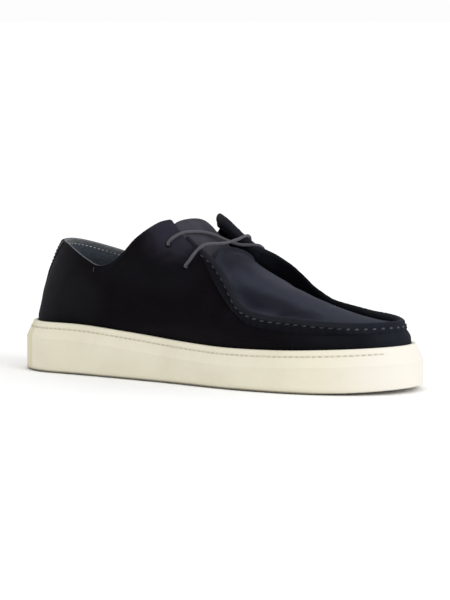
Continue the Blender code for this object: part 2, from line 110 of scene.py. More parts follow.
# Height of the sole's rim.
RIM = rows(
    "share height",
    (0.00, 33.6), (0.16, 34.0), (0.34, 31.1), (0.50, 27.7), (0.61, 26.6), (0.72, 27.0), (0.84, 28.4),
    (1.00, 30.9),
)

# The wrap's upper edge: collar, flaps, throat and the crease under the raised seam.
TOP_EDGE = rows(
    "share y_lateral y_medial z_lateral z_medial",
    (0.000, 42.0, 42.0, 88.8, 88.8), (0.045, 43.0, 43.0, 86.9, 84.8), (0.092, 43.0, 43.0, 82.3, 80.8),
    (0.138, 42.8, 42.8, 77.3, 76.8), (0.177, 42.0, 42.0, 74.0, 74.0), (0.213, 40.5, 40.5, 75.2, 75.4),
    (0.251, 38.5, 38.5, 81.6, 81.0), (0.293, 35.6, 36.0, 93.0, 90.4), (0.330, 32.6, 33.6, 100.2, 92.4),
    (0.365, 29.6, 31.4, 105.0, 93.0), (0.391, 27.6, 29.8, 106.2, 94.2),
    (0.408, 27.5, 29.4, 101.8, 100.6), (0.422, 27.6, 29.2, 97.6, 102.8),
    (0.471, 28.6, 30.2, 87.2, 94.4), (0.490, 29.4, 30.8, 82.2, 89.0), (0.521, 31.2, 32.6, 70.6, 79.0),
    (0.575, 37.4, 37.6, 56.3, 67.6), (0.609, 42.0, 41.4, 50.2, 59.6), (0.661, 47.4, 45.4, 43.2, 50.0),
    (0.714, 50.8, 47.4, 40.8, 45.6), (0.795, 52.0, 47.6, 38.4, 42.2), (0.875, 49.6, 46.0, 38.0, 40.6),
    (0.940, 46.5, 44.5, 38.6, 40.0), (1.000, 44.0, 43.0, 40.0, 40.0),
)

# How far the wrap bows out between rim and edge.
SWELL = rows(
    "share swell",
    (0.00, 2.3), (0.12, 2.7), (0.27, 4.0), (0.40, 6.0), (0.50, 6.0), (0.60, 4.0), (0.70, 2.4),
    (0.85, 1.5), (0.95, 0.5), (1.00, 0.1),
)

# Crest of the raised seam, the drop from it to the plug's edge, and the plug's crown.
SEAM = rows(
    "share z_lateral z_medial drop_lateral drop_medial crown",
    (0.395, 107.4, 109.4, 5.6, 8.0, 4.0), (0.403, 105.4, 109.2, 5.6, 8.0, 4.0),
    (0.422, 100.0, 106.8, 5.6, 8.0, 4.0), (0.471, 90.0, 96.2, 5.6, 8.0, 4.0),
    (0.515, 83.2, 87.6, 5.6, 12.4, 6.4), (0.560, 73.2, 81.6, 7.0, 16.4, 9.6),
    (0.600, 60.8, 74.2, 7.8, 15.6, 14.0), (0.625, 55.2, 68.6, 8.0, 15.0, 16.6),
    (0.661, 51.6, 60.4, 7.6, 12.4, 17.0), (0.720, 49.2, 52.8, 7.0, 8.6, 14.4),
    (0.780, 48.2, 50.2, 6.4, 7.0, 10.2), (0.860, 46.4, 48.0, 5.6, 5.8, 5.6),
    (0.930, 45.4, 47.4, 5.0, 5.0, 2.4), (1.000, 45.9, 45.9, 4.6, 4.6, 0.0),
)

# Middle line of the tongue and its half widths, from its root (0) to its tip (1).
TONGUE = rows(
    "reach x y z lateral medial",
    (0.00, 33.0, 0.0, 65.0, 15.0, 15.0), (0.25, 20.0, 0.0, 72.4, 20.0, 18.0),
    (0.50, 7.0, 0.0, 80.6, 24.5, 22.0), (0.72, -3.6, -4.0, 93.0, 23.5, 27.0),
    (0.90, -12.0, -9.0, 103.5, 19.0, 34.0), (1.00, -15.4, -10.5, 107.9, 17.5, 35.5),
)

# Shares of the eyelets on each side, and their share of the wrap's height.
EYELETS = rows("lateral medial height", (0.402, 0.460, 0.825), (0.460, 0.512, 0.790))

# Radius and depth of a punched hole, and how far its two edges lie from its centre.
EYELET_HOLE = 1.72 * MM
HOLE_DEPTH = 7 * MM
HOLE_REACH = 9 * MM

# ---------------------------------------------------------------------------
# Details that only the pieces have.

# Soft creases of the wrap, lateral (-1) or medial (1): a trough from a to b,
# by share of length and of the wrap's height. A negative depth makes a ridge.
CREASES = rows(
    "side share_a height_a share_b height_b width depth",
    (-1, 0.186, 0.99, 0.222, 0.52, 5.5, 0.55), (-1, 0.150, 0.92, 0.140, 0.50, 8.0, 0.35),
    (-1, 0.205, 0.80, 0.262, 0.40, 7.0, -0.35), (-1, 0.520, 0.90, 0.500, 0.42, 8.0, 0.45),
    (-1, 0.560, 0.98, 0.545, 0.45, 6.0, -0.40), (-1, 0.590, 0.96, 0.585, 0.40, 5.0, 0.55),
    (-1, 0.640, 0.94, 0.655, 0.30, 7.0, 0.30), (-1, 0.700, 0.92, 0.700, 0.35, 6.0, 0.22),
    (1, 0.184, 0.99, 0.226, 0.50, 6.0, 0.50), (1, 0.150, 0.90, 0.135, 0.48, 8.0, 0.30),
    (1, 0.330, 0.85, 0.395, 0.35, 9.0, 0.35), (1, 0.500, 0.92, 0.470, 0.40, 7.0, 0.50),
    (1, 0.560, 0.97, 0.545, 0.42, 6.0, -0.40), (1, 0.600, 0.96, 0.600, 0.38, 5.5, 0.50),
    (1, 0.670, 0.92, 0.690, 0.35, 7.0, 0.30),
)

# Radius of the raised seam's roll, and the swelling of the gathered band under it.
ROLL = rows(
    "share lateral medial puff",
    (0.395, 1.8, 3.9, 0.10), (0.430, 1.8, 3.9, 0.15), (0.471, 2.0, 3.5, 0.30), (0.515, 2.2, 3.1, 0.55),
    (0.560, 2.4, 2.9, 0.75), (0.640, 2.5, 2.8, 0.80), (0.800, 2.5, 2.6, 0.70), (1.000, 2.3, 2.3, 0.30),
)

ROLL_DEGREES = (188, 145, 102, 60, 18, -20)
SECTION_STEPS = 4
# Columns of the seam's section over the roll, which take the lighter roll suede: painted light.
LIT_ROLL_COLUMNS = (18, 44)
PUCKER_PITCH = 0.0057
PUCKER_START = 0.53

# Heel stay: half width round the heel by height.
STAY = rows(
    "height half",
    (-0.08, 12.0), (0.25, 12.2), (0.55, 14.0), (0.80, 17.6), (1.00, 21.5),
)

STAY_LIFT = 0.85 * MM
STAY_WALL = 0.0012
STAY_HEIGHT = 0.055
STAY_HALF_WIDTH = 0.013
STAY_STITCHES = (0.16, 0.84)

# Outer profile of the sole. Rows with a lift stand that high over the floor,
# and rows with a drop lie that far under the rim.
SOLE_WALL = rows(
    "inset lift drop",
    (2.60, 0.92, None), (1.90, 0.74, None), (1.35, 0.66, None), (0.88, 0.70, None), (0.46, 0.88, None),
    (0.18, 1.22, None), (0.04, 1.75, None), (0.00, 2.50, None), (0.00, 4.50, None), (0.02, 7.50, None),
    (0.04, None, 17.00), (0.02, None, 14.40), (0.00, None, 12.60), (-0.06, None, 11.70),
    (-0.16, None, 11.20), (-0.12, None, 10.75), (0.12, None, 10.25), (0.44, None, 9.55),
    (1.10, None, 8.15), (1.80, None, 6.70), (2.48, None, 5.27), (2.72, None, 4.76), (2.92, None, 4.50),
    (3.40, None, 4.30), (3.62, None, 4.06), (3.58, None, 3.66), (3.46, None, 3.20), (3.62, None, 2.84),
    (4.08, None, 1.88), (4.38, None, 1.24), (4.58, None, 0.74), (4.88, None, 0.30), (5.34, None, 0.05),
    (5.90, None, 0.00), (6.90, None, 0.05), (7.45, None, 0.20), (7.72, None, 0.60), (7.80, None, 1.20),
    (7.80, None, 12.0), (7.80, 2.60, None),
)

# Over this range of x, towards the toe, the rows whose lift is under SETTLED_LIFT
# millimetres settle to half of it.
SETTLED_X = (0.080, 0.125)
SETTLED_LIFT = 3

# Where the thread lies in the groove, and the plain slope that replaces the groove
# past its end at the toe, in millimetres as in the profile.
GROOVE_INSET = 3.30
GROOVE_DROP = 3.95
GROOVE_LIP_DROP = (2.84, 5.27)
GROOVE_LIP_INSET = (3.62, 2.48)
GROOVE_END_SHARE = 0.972
MOULD_JOINT_SHARE = 0.062
MOULD_JOINT_WIDTH = 0.0022

# Tread: cross lugs between channels, fine chevrons and a line along the border.
LUG_RANGES = ((0.06, 0.27), (0.49, 0.92))
LUG_PITCH = 0.034
TREAD_DEPTH = 0.002
TREAD_BORDER = 0.009
TREAD_WIDTH = 0.0035
CHEVRON_PITCH = 5.1 * MM
CHEVRON_DEPTH = 0.9 * MM
CHEVRON_SLOPE = 0.55
BORDER_LINE = 5.2 * MM
BORDER_LINE_DEPTH = 0.7 * MM

# Section of an eyelet's rolled ring, in millimetres: radius, and height over its seat,
# which lies EYELET_SEAT under the wrap's face.
EYELET_SEAT = 0.38
EYELET_SECTION = (
    (2.30, -0.40), (2.32, -0.05), (2.20, 0.18), (1.98, 0.28), (1.78, 0.16), (1.64, -0.16), (1.58, -0.80),
    (1.58, -2.40), (1.62, -3.60), (1.80, -3.95), (2.30, -3.95), (2.45, -3.70), (2.35, -3.40),
    (1.95, -3.20), (1.93, -1.00),
)

# Pitch, length, radius and sink of a fine machine stitch.
FINE_STITCH = (2.8 * MM, 2.0 * MM, 0.28 * MM, -0.05 * MM)

# Middle line of the lace's visible strands, near side to far side, and of the
# hidden run under the flaps.
FIRST_STRAND = rows(
    "x y z",
    (-17.0, -33.2, 94.4), (-13.2, -30.0, 97.6), (-11.0, -26.0, 98.9), (-8.8, -20.0, 99.0),
    (-6.0, -12.0, 98.4), (-3.2, -4.0, 96.6), (-1.4, 3.0, 94.0), (0.0, 9.0, 91.8), (1.8, 15.0, 89.6),
    (4.3, 21.0, 88.2), (7.2, 24.0, 88.0), (10.4, 26.2, 88.0), (13.2, 28.8, 87.6), (14.6, 31.2, 85.8),
    (14.4, 33.4, 82.6), (13.6, 35.4, 78.8), (12.4, 37.2, 74.6),
)
SECOND_STRAND = rows(
    "x y z",
    (-1.8, -35.2, 80.4), (0.8, -33.6, 84.8), (2.6, -31.0, 88.2), (4.6, -26.6, 91.0),
    (6.2, -20.0, 91.6), (7.4, -11.0, 91.2), (8.3, -1.0, 91.6), (8.6, 9.0, 92.8), (7.6, 19.0, 94.2),
    (6.3, 26.4, 94.0), (5.2, 29.8, 92.8), (3.6, 32.6, 89.8), (1.2, 35.2, 86.6),
)
HIDDEN_BAR = rows(
    "x y z",
    (11.4, 23.5, 67.0), (11.6, 14.0, 72.0), (11.6, 3.0, 75.0), (11.0, -8.0, 75.0), (8.6, -17.0, 73.5),
    (3.6, -24.0, 72.5),
)


# ---------------------------------------------------------------------------
# Shape functions. A turn runs once round the shoe from the heel, the lateral side
# first. A share is how far along the shoe that is, from heel (0) to toe (1).

def column(table, name):
    return np.array([getattr(row, name) for row in table])


def smooth(table, name, at):
    """Monotone cubic through one column of a table, over its first column."""
    xs = column(table, table[0]._fields[0])
    ys = column(table, name)
    step = np.diff(xs)
    slope = np.diff(ys) / step
    tangent = np.zeros(len(xs))
    same_way = slope[:-1] * slope[1:] > 0
    total = np.where(same_way, slope[:-1] + slope[1:], 1.0)
    tangent[1:-1] = np.where(same_way, 2 * slope[:-1] * slope[1:] / total, 0.0)
    tangent[0], tangent[-1] = slope[0], slope[-1]
    at = np.clip(at, xs[0], xs[-1])
    i = np.clip(np.searchsorted(xs, at) - 1, 0, len(xs) - 2)
    return hermite((at - xs[i]) / step[i], step[i], ys[i], ys[i + 1], tangent[i], tangent[i + 1])


def hermite(t, step, start, end, start_slope, end_slope):
    return ((1 + 2 * t) * (1 - t) ** 2 * start + t * (1 - t) ** 2 * step * start_slope
            + t * t * (3 - 2 * t) * end - t * t * (1 - t) * step * end_slope)


def unit(vectors):
    return vectors / np.maximum(np.linalg.norm(vectors, axis=-1, keepdims=True), 1e-12)


def ramp(at, low, high):
    return np.clip((at - low) / (high - low), 0, 1)


def ease(at, low, high):
    """Smooth step from 0 at low to 1 at high."""
    t = ramp(at, low, high)
    return t * t * (3 - 2 * t)


def bell(at, width):
    return np.exp(-((at / width) ** 2))


def ridge(away, height, middle, width):
    """Rounded ridge at a distance from a line, or a trough if the height is negative."""
    return height * MM * bell(away - middle * MM, width * MM)


def shore(away, height, reach):
    """Rise, or fall if the height is negative, that dies out away from a line."""
    return height * MM * np.exp(-away / (reach * MM))


def share_of(turn):
    return (1 - np.cos(turn)) / 2


def turn_of(share, side=-1):
    """Turn at a share of the lateral side (-1) or of the medial one (1)."""
    turn = math.acos(1 - 2 * share)
    return turn if side < 0 else TAU - turn


def two_sided(turn, lateral, medial):
    return np.where(np.sin(turn) >= 0, lateral, medial)


def sided(table, stem, turn):
    """A table's lateral or medial column, by the side each turn is on, in metres."""
    share = share_of(turn)
    lateral = smooth(table, stem + "lateral", share)
    return two_sided(turn, lateral, smooth(table, stem + "medial", share)) * MM


def rounded_end(share, reach):
    inner = np.clip(1 - share / reach, 0, 1)
    return (1 - inner**ROUND_POWER) ** (1 / ROUND_POWER)


def outline(turn):
    share = share_of(turn)
    closing = rounded_end(share, HEEL_ROUND) * rounded_end(1 - share, TOE_ROUND)
    y = -np.sign(np.sin(turn)) * closing * sided(OUTLINE, "", turn)
    return np.stack([(share - 0.5) * OUTSOLE_LENGTH, y], axis=-1)


def leftward(line, turn):
    """Unit vector in plan to the left of a line, as it runs with the turn."""
    nudge = 0.01
    along = unit((line(turn + nudge) - line(turn - nudge))[..., :2])
    return np.stack([-along[..., 1], along[..., 0]], axis=-1)


def inward(turn):
    return leftward(outline, turn)


def inset_outline(turn, inset):
    return outline(turn) + inward(turn) * np.asarray(inset)[..., None]


def spring(x):
    return TOE_SPRING * ramp(x / OUTSOLE_LENGTH + 0.5, TOE_SPRING_START, 1) ** 2


def rim_height(x):
    return smooth(RIM, "height", x / OUTSOLE_LENGTH + 0.5) * MM


def lifted(plan, height):
    return np.concatenate([plan, height[..., None]], axis=-1)


def top_edge(turn):
    share = share_of(turn)
    x = COLLAR_BACK_X + share * (SEAM_TOE_X - COLLAR_BACK_X)
    way = -np.sign(np.sin(turn)) * np.abs(np.sin(turn)) ** TOP_EDGE_POWER
    return np.stack([x, way * sided(TOP_EDGE, "y_", turn), sided(TOP_EDGE, "z_", turn)], axis=-1)


def feather(turn):
    """Lower edge of the wrap, where it meets the rim."""
    share = share_of(turn)
    fuller = HEEL_FULLNESS * (1 - ease(share, 0.02, 0.14)) + TOE_FULLNESS * ease(share, 0.90, 1.0)
    plan = inset_outline(turn, RIM_INSET + RIM_WIDTH + GAP - fuller)
    return lifted(plan, rim_height(plan[..., 0]))


def wrap_size(turn):
    return np.linalg.norm(top_edge(turn) - feather(turn), axis=-1)


def wrap_point(turn, height):
    """Outer face of the wrap at a share of its height above the rim."""
    low = feather(turn)
    swell = smooth(SWELL, "swell", share_of(turn)) * MM
    out = lifted(-inward(turn), np.zeros(np.shape(turn)))
    bow = (4 * height * (1 - height) * swell)[..., None]
    return low + (top_edge(turn) - low) * np.asarray(height)[..., None] + out * bow


def wrap_spot(turn, height):
    return wrap_point(np.array([turn]), np.array([height]))[0]


def wrap_wall(turn, height):
    share = share_of(turn)
    flap = ramp(share, *FLAP_THICKENS) * ramp(share, *FLAP_THINS)
    return UPPER_WALL + (FLAP_WALL - UPPER_WALL) * flap * np.clip(height, 0, 1) ** 2


def seam_across(turn):
    """Unit vector in plan from the wrap's edge towards the plug."""
    return leftward(top_edge, turn)


def crest_height(turn):
    return sided(SEAM, "z_", turn)


def plug_edge_height(turn):
    return crest_height(turn) - sided(SEAM, "drop_", turn)


def plug_point(share, across):
    """Outer face of the plug; across runs from 0 lateral to 1 medial."""
    turn = np.arccos(1 - 2 * share)
    near, far = (
        lifted(top_edge(side)[..., :2] + seam_across(side) * SEAM_INSET, plug_edge_height(side))
        for side in (turn, TAU - turn)
    )
    off_middle = 2 * across - 1
    bow = 1 - off_middle**2
    back = ramp(share, PLUG_START + PLUG_END_SHARE, PLUG_START)
    face = near * (1 - across)[..., None] + far * across[..., None]
    face[..., 0] -= PLUG_END_REACH * back * bow
    face[..., 2] += smooth(SEAM, "crown", share) * MM * bow + PLUG_END_RISE * back * (1 - off_middle**4)
    return face


def tongue_point(reach, across):
    """Outer face of the tongue; across runs from -1 lateral to 1 medial."""
    x, y, z, lateral, medial = (smooth(TONGUE, name, reach) * MM for name in TONGUE[0]._fields[1:])
    nudge = 0.02
    dx, dz = (smooth(TONGUE, name, reach + nudge) - smooth(TONGUE, name, reach - nudge) for name in "xz")
    size = np.hypot(dx, dz)
    angle = across * np.where(across < 0, lateral, medial) / TONGUE_RADIUS
    fall = TONGUE_RADIUS * (1 - np.cos(angle)) / size
    return np.stack([x - dz * fall, y + TONGUE_RADIUS * np.sin(angle), z + dx * fall], axis=-1)


def eyelet_place(row, side):
    """Centre and outward normal of one eyelet on the wrap's outer face."""
    turn = turn_of(row.lateral if side < 0 else row.medial, side)
    nudge = 0.004
    along = wrap_spot(turn + nudge, row.height) - wrap_spot(turn - nudge, row.height)
    climb = wrap_spot(turn, row.height + nudge) - wrap_spot(turn, row.height - nudge)
    return wrap_spot(turn, row.height), unit(np.cross(along, climb))


def eyelet_places():
    return [eyelet_place(row, side) for row in EYELETS for side in (-1, 1)]


# ---------------------------------------------------------------------------
# Mesh helpers.

def grid_normal(grid, round_u=False):
    """Unit normal at each point of a grid, from its neighbours."""
    if round_u:
        along = np.roll(grid, -1, 0) - np.roll(grid, 1, 0)
    else:
        along = np.gradient(grid, axis=0)
    return unit(np.cross(along, np.gradient(grid, axis=1)))


def facing(grid, toward):
    """Unit normals of a grid, on the side where its middle looks a given way."""
    normal = grid_normal(grid)
    return normal if normal[grid.shape[0] // 2, grid.shape[1] // 2] @ toward > 0 else -normal


def lengths(grid, axis, closed):
    """Running mean length along one axis of a grid, one more entry if closed."""
    if closed:
        grid = np.concatenate([grid, np.take(grid, [0], axis=axis)], axis=axis)
    step = np.linalg.norm(np.diff(grid, axis=axis), axis=-1)
    return np.concatenate([[0.0], np.cumsum(step.mean(axis=1 - axis))])


def run_length(points):
    return lengths(points[:, None], 0, False)


def show(name, data):
    thing = bpy.data.objects.new(name, data)
    bpy.context.scene.collection.objects.link(thing)
    return thing


def opened(data):
    mesh = bmesh.new()
    mesh.from_mesh(data)
    return mesh


def closed(mesh, data):
    mesh.to_mesh(data)
    mesh.free()


def skin(name, grid, finish, round_u=False, round_v=False, keep=None, weld=False, band=None):
    """Smooth mesh over a grid of points, with a UV map in metres.

    A band is a first and last column and the second material that covers them.
    """
    count_u, count_v = grid.shape[:2]
    i, j = np.meshgrid(
        np.arange(count_u if round_u else count_u - 1),
        np.arange(count_v if round_v else count_v - 1),
        indexing="ij",
    )
    i, j = i.ravel(), j.ravel()
    corner_i = np.stack([i, i + 1, i + 1, i], axis=1)
    corner_j = np.stack([j, j, j + 1, j + 1], axis=1)
    faces = (corner_i % count_u) * count_v + corner_j % count_v
    points = grid.reshape(-1, 3)
    if keep is not None:
        kept = keep(points[faces].mean(axis=1))
        faces, corner_i, corner_j, j = faces[kept], corner_i[kept], corner_j[kept], j[kept]
    uv = np.stack([lengths(grid, 0, round_u)[corner_i], lengths(grid, 1, round_v)[corner_j]], axis=-1)
    data = bpy.data.meshes.new(name)
    data.from_pydata(points.tolist(), [], faces.tolist())
    data.uv_layers.new(name="UVMap").data.foreach_set("uv", uv.reshape(-1).astype(np.float32))
    data.materials.append(finish)
    if band is not None:
        data.materials.append(band[2])
        data.polygons.foreach_set("material_index", ((j >= band[0]) & (j < band[1])).astype(np.int32))
    if weld or keep is not None:
        mesh = opened(data)
        if weld:
            bmesh.ops.remove_doubles(mesh, verts=mesh.verts, dist=0.002 * MM)
            bmesh.ops.dissolve_degenerate(mesh, edges=mesh.edges, dist=0.0005 * MM)
        loose = [vert for vert in mesh.verts if not vert.link_faces]
        bmesh.ops.delete(mesh, geom=loose, context="VERTS")
        closed(mesh, data)
    data.shade_smooth()
    return show(name, data)


def seal(piece):
    """Closes a mesh's open ends and turns its faces outwards."""
    mesh = opened(piece.data)
    bmesh.ops.holes_fill(mesh, edges=[edge for edge in mesh.edges if edge.is_boundary], sides=0)
    bmesh.ops.recalc_face_normals(mesh, faces=mesh.faces)
    if mesh.calc_volume(signed=True) < 0:
        bmesh.ops.reverse_faces(mesh, faces=mesh.faces)
    closed(mesh, piece.data)
    piece.data.shade_smooth()
    return piece


def join(name, things):
    """One object from several that share one material."""
    mesh = bmesh.new()
    for thing in things:
        mesh.from_mesh(thing.data)
    data = bpy.data.meshes.new(name)
    closed(mesh, data)
    data.materials.append(things[0].data.materials[0])
    for thing in things:
        bpy.data.objects.remove(thing)
    return show(name, data)


def stands_for(piece, node):
    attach(piece, "root")
    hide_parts(node)


def edged(count, near_start, near_end=None):
    """Values from 0 to 1, closer together by a rounded edge at each end."""
    near_end = near_start if near_end is None else near_end
    curve = 1 - np.cos(np.linspace(0, math.pi / 2, 5))
    middle = np.linspace(near_start, 1 - near_end, count)
    return np.unique(np.concatenate([near_start * curve, middle, 1 - near_end * curve]).round(9))


def rounding(distance, radius):
    """Share of the full thickness at a distance from a rounded edge."""
    return np.sqrt(1 - (1 - ramp(distance, 0, radius)) ** 2)


def slab(name, face, toward, finish, thickness, round_last=True, band=None):
    """Closed sheet under an outer face that looks a given way, with rounded edges."""
    normal = facing(face, toward)
    run_u, run_v = lengths(face, 0, False), lengths(face, 1, False)
    from_end = np.minimum(run_u, run_u[-1] - run_u) if round_last else run_u
    along = rounding(from_end, thickness / 2)[:, None]
    across = rounding(np.minimum(run_v, run_v[-1] - run_v), thickness / 2)[None, :]
    half = (thickness / 2 * along * across)[..., None]
    middle = face - normal * thickness / 2
    loop = np.concatenate([middle + normal * half, (middle - normal * half)[:, ::-1]], axis=1)
    return seal(skin(name, loop, finish, round_v=True, weld=True, band=band))


def stations(count, first=0.0, last=TAU, height=0.8, weight=None):
    """Turns spread evenly along the wrap, closer together where the weight is high."""
    turn = np.linspace(first, last, 6000)
    points = wrap_point(turn, np.full(len(turn), height))
    step = np.linalg.norm(np.diff(points, axis=0), axis=1)
    if weight is not None:
        step = step * weight(share_of((turn[1:] + turn[:-1]) / 2))
    run = np.concatenate([[0.0], np.cumsum(step)])
    return np.interp(np.linspace(0, run[-1], count), run, turn)


def point_at(at, run, points):
    return np.stack([np.interp(at, run, points[:, k]) for k in range(3)], axis=-1)


def through(knots, spacing):
    """Smooth line through knots, with even spacing."""
    knots = np.asarray(knots, dtype=float)
    run = run_length(knots)
    step = np.diff(run)[:, None]
    slope = np.diff(knots, axis=0) / step
    tangent = np.empty_like(knots)
    tangent[1:-1] = (slope[:-1] * step[1:] + slope[1:] * step[:-1]) / (step[:-1] + step[1:])
    tangent[0], tangent[-1] = slope[0], slope[-1]
    at = np.linspace(0, run[-1], int(run[-1] / spacing * 4))
    i = np.clip(np.searchsorted(run, at) - 1, 0, len(knots) - 2)
    t = (at - run[i])[:, None] / step[i]
    line = hermite(t, step[i], knots[i], knots[i + 1], tangent[i], tangent[i + 1])
    run = run_length(line)
    return point_at(np.linspace(0, run[-1], int(round(run[-1] / spacing)) + 1), run, line)


def tube_grid(path, radius, sides):
    """Rings round a path, with a radius for each of its points."""
    along = unit(np.gradient(path, axis=0))
    first = np.empty_like(along)
    first[0] = unit(np.cross(along[0], (0.0, 0.0, 1.0)))
    for i in range(1, len(path)):
        first[i] = unit(first[i - 1] - along[i] * np.dot(first[i - 1], along[i]))
    second = np.cross(along, first)
    angle = np.linspace(0, TAU, sides, endpoint=False)[None, :, None]
    arm = first[:, None] * np.cos(angle) + second[:, None] * np.sin(angle)
    return path[:, None] + arm * radius[:, None, None]


def stitch_row(name, path, normal, finish, pitch, length, radius, sink=0.0, start=0.0, stop=None, slant=0.0):
    """Thread stitches along a path on a surface, as one joined mesh."""
    run = run_length(path)
    stop = run[-1] if stop is None else stop
    count = int((stop - start) / pitch)
    rings, sides = 7, 7
    t = np.linspace(-1, 1, rings)
    swell = np.sqrt(np.clip(1 - np.abs(t) ** 2.6, 0, 1))
    angle = np.linspace(0, TAU, sides, endpoint=False)[None, :, None]
    reach = (radius * swell)[:, None, None]
    vertices, faces = [], []
    for centre in start + (np.arange(count) + 0.5) * (stop - start) / count:
        middle = point_at(centre + t * length / 2, run, path)
        up = unit(point_at(centre, run, normal))
        side = np.cross(up, unit(middle[-1] - middle[0]))
        middle = middle + side * (t * slant * length / 2)[:, None]
        middle = middle + up * ((1 - t**2) * radius * 0.8 - radius * 0.45 - sink)[:, None]
        ring = middle[:, None] + side * np.cos(angle) * reach + up * np.sin(angle) * reach * 0.85
        base = len(vertices)
        vertices += [*ring[1:-1].reshape(-1, 3).tolist(), middle[0].tolist(), middle[-1].tolist()]
        last = base + (rings - 3) * sides
        first_tip = last + sides
        for j in range(sides):
            k = (j + 1) % sides
            for a in range(base, last, sides):
                faces.append((a + j, a + k, a + sides + k, a + sides + j))
            faces.append((first_tip, base + k, base + j))
            faces.append((first_tip + 1, last + j, last + k))
    data = bpy.data.meshes.new(name)
    data.from_pydata(vertices, [], faces)
    data.shade_smooth()
    data.materials.append(finish)
    return show(name, data)


# ---------------------------------------------------------------------------
# Materials.

class Recipe:
    """Wires the nodes of one material."""

    def __init__(self, name, **constants):
        self.material = bpy.data.materials.new(name)
        self.material.use_nodes = True
        self.tree = self.material.node_tree
        self.shader = self.tree.nodes["Principled BSDF"]
        for key, value in constants.items():
            self.shader.inputs[key.replace("_", " ")].default_value = value

    def put(self, socket, value):
        if isinstance(value, bpy.types.NodeSocket):
            self.tree.links.new(value, socket)
        else:
            is_colour = socket.type == "RGBA"
            socket.default_value = (*value, 1) if is_colour else value

    def add(self, kind, inputs=(), **settings):
        node = self.tree.nodes.new("ShaderNode" + kind)
        for key, value in settings.items():
            setattr(node, key, value)
        for key, value in dict(inputs).items():
            self.put(node.inputs[key], value)
        return node

    def coordinates(self, kind="Object"):
        return self.add("TexCoord").outputs[kind]

    def place(self, stretch=(1, 1, 1), turn=(0, 0, 0)):
        inputs = {"Vector": self.coordinates(), "Scale": stretch, "Rotation": turn}
        return self.add("Mapping", inputs).outputs[0]

    def axes(self, vector):
        return self.add("SeparateXYZ", {"Vector": vector}).outputs

    def noise(self, scale, detail=3.0, rough=0.5, where=None, twist=0.0):
        where = self.place() if where is None else where
        inputs = {"Vector": where, "Scale": scale, "Detail": detail, "Roughness": rough, "Distortion": twist}
        return self.add("TexNoise", inputs).outputs[0]

    def sums(self, operation, first, second=0.0, third=0.0):
        return self.add("Math", {0: first, 1: second, 2: third}, operation=operation).outputs[0]

    def remap(self, value, low, high, to_low=0.0, to_high=1.0, **settings):
        inputs = {"Value": value, "From Min": low, "From Max": high, "To Min": to_low, "To Max": to_high}
        return self.add("MapRange", inputs, **settings).outputs[0]

    def spread(self, noise, to_low=0.0, to_high=1.0):
        return self.remap(noise, 0.3, 0.7, to_low, to_high)

    def blend(self, amount, first, second, how="MIX"):
        node = self.add("Mix", data_type="RGBA", blend_type=how)
        for socket, value in (("Factor", amount), (6, first), (7, second)):
            self.put(node.inputs[socket], value)
        return node.outputs[2]

    def bump(self, *layers):
        """Relief from layers of height, distance and strength, each laid over the one before."""
        normal = None
        for height, distance, strength in layers:
            node = self.add("Bump", {"Height": height, "Distance": distance, "Strength": strength})
            if normal is not None:
                self.put(node.inputs["Normal"], normal)
            normal = node.outputs[0]
        return normal

    def finish(self, colour, rough, *layers):
        self.put(self.shader.inputs["Base Color"], colour)
        self.put(self.shader.inputs["Roughness"], rough)
        if layers:
            self.put(self.shader.inputs["Normal"], self.bump(*layers))
        return self.material


def tinted(colour, factor):
    return tuple(part * factor for part in colour)


def suede(name, dark, light, patches=()):
    """Brushed suede: a short nap, laid lighter or darker in soft patches, some of which paint light and
    shade.
    """
    r = Recipe(name, Sheen_Weight=0.05, Sheen_Roughness=0.42, Sheen_Tint=(0.80, 0.85, 1.0, 1.0),
               Specular_IOR_Level=0.03)
    wander = r.noise(38.0, 4.0, 0.55, r.place((1.0, 1.0, 1.6)), twist=0.8)
    strokes = r.noise(150.0, 3.0, 0.6, r.place((0.35, 1.0, 1.0), turn=(0.0, 0.35, 0.3)))
    grain = r.noise(1300.0, 2.0, 0.6)
    nap = r.noise(3600.0, 2.0, 0.65)
    colour, bright = dark, light
    for patch in patches:
        where = r.add("Mapping", {
            "Vector": r.coordinates(),
            "Location": tuple(-c / s for c, s in zip(patch.place, patch.reach)),
            "Scale": tuple(1 / (s * MM) for s in patch.reach),
        })
        away = r.add("VectorMath", {0: where.outputs[0]}, operation="LENGTH").outputs["Value"]
        away = r.sums("ADD", away, r.spread(wander, -0.16, 0.16))
        amount = r.remap(away, 1.0, 0.25, 0.0, patch.amount, interpolation_type="SMOOTHSTEP")
        colour = r.blend(amount, colour, tinted(patch.colour, 0.72))
        bright = r.blend(amount, bright, tinted(patch.colour, 1.28))
    shade = r.sums("MULTIPLY_ADD", r.remap(wander, 0.32, 0.68), 0.45,
                   r.sums("MULTIPLY", r.spread(strokes), 0.30))
    shade = r.sums("ADD", shade, r.sums("MULTIPLY", r.spread(grain), 0.25))
    colour = r.blend(shade, colour, bright)
    fleck = r.remap(nap, 0.60, 0.80, 0.0, 0.30)
    colour = r.blend(fleck, colour, r.blend(1.0, bright, (1.6, 1.6, 1.6), "MULTIPLY"))
    return r.finish(colour, r.remap(grain, 0.2, 0.8, 0.86, 1.0),
                    (strokes, 0.0006, 0.35), (grain, 0.00028, 0.55), (nap, 0.00016, 0.60))


def smooth_leather(name, dark, light):
    """Smooth dyed leather with a fine pebbled grain."""
    r = Recipe(name, Specular_IOR_Level=0.12, Sheen_Weight=0.03, Sheen_Roughness=0.4)
    cells = r.add("TexVoronoi", {"Vector": r.place(), "Scale": 900.0}, feature="DISTANCE_TO_EDGE").outputs[0]
    wander = r.noise(60.0, 4.0, 0.6)
    return r.finish(r.blend(r.spread(wander), dark, light), r.spread(r.noise(220.0), 0.50, 0.66),
                    (r.remap(cells, 0.0, 0.25), 0.00012, 0.5), (wander, 0.0005, 0.2))


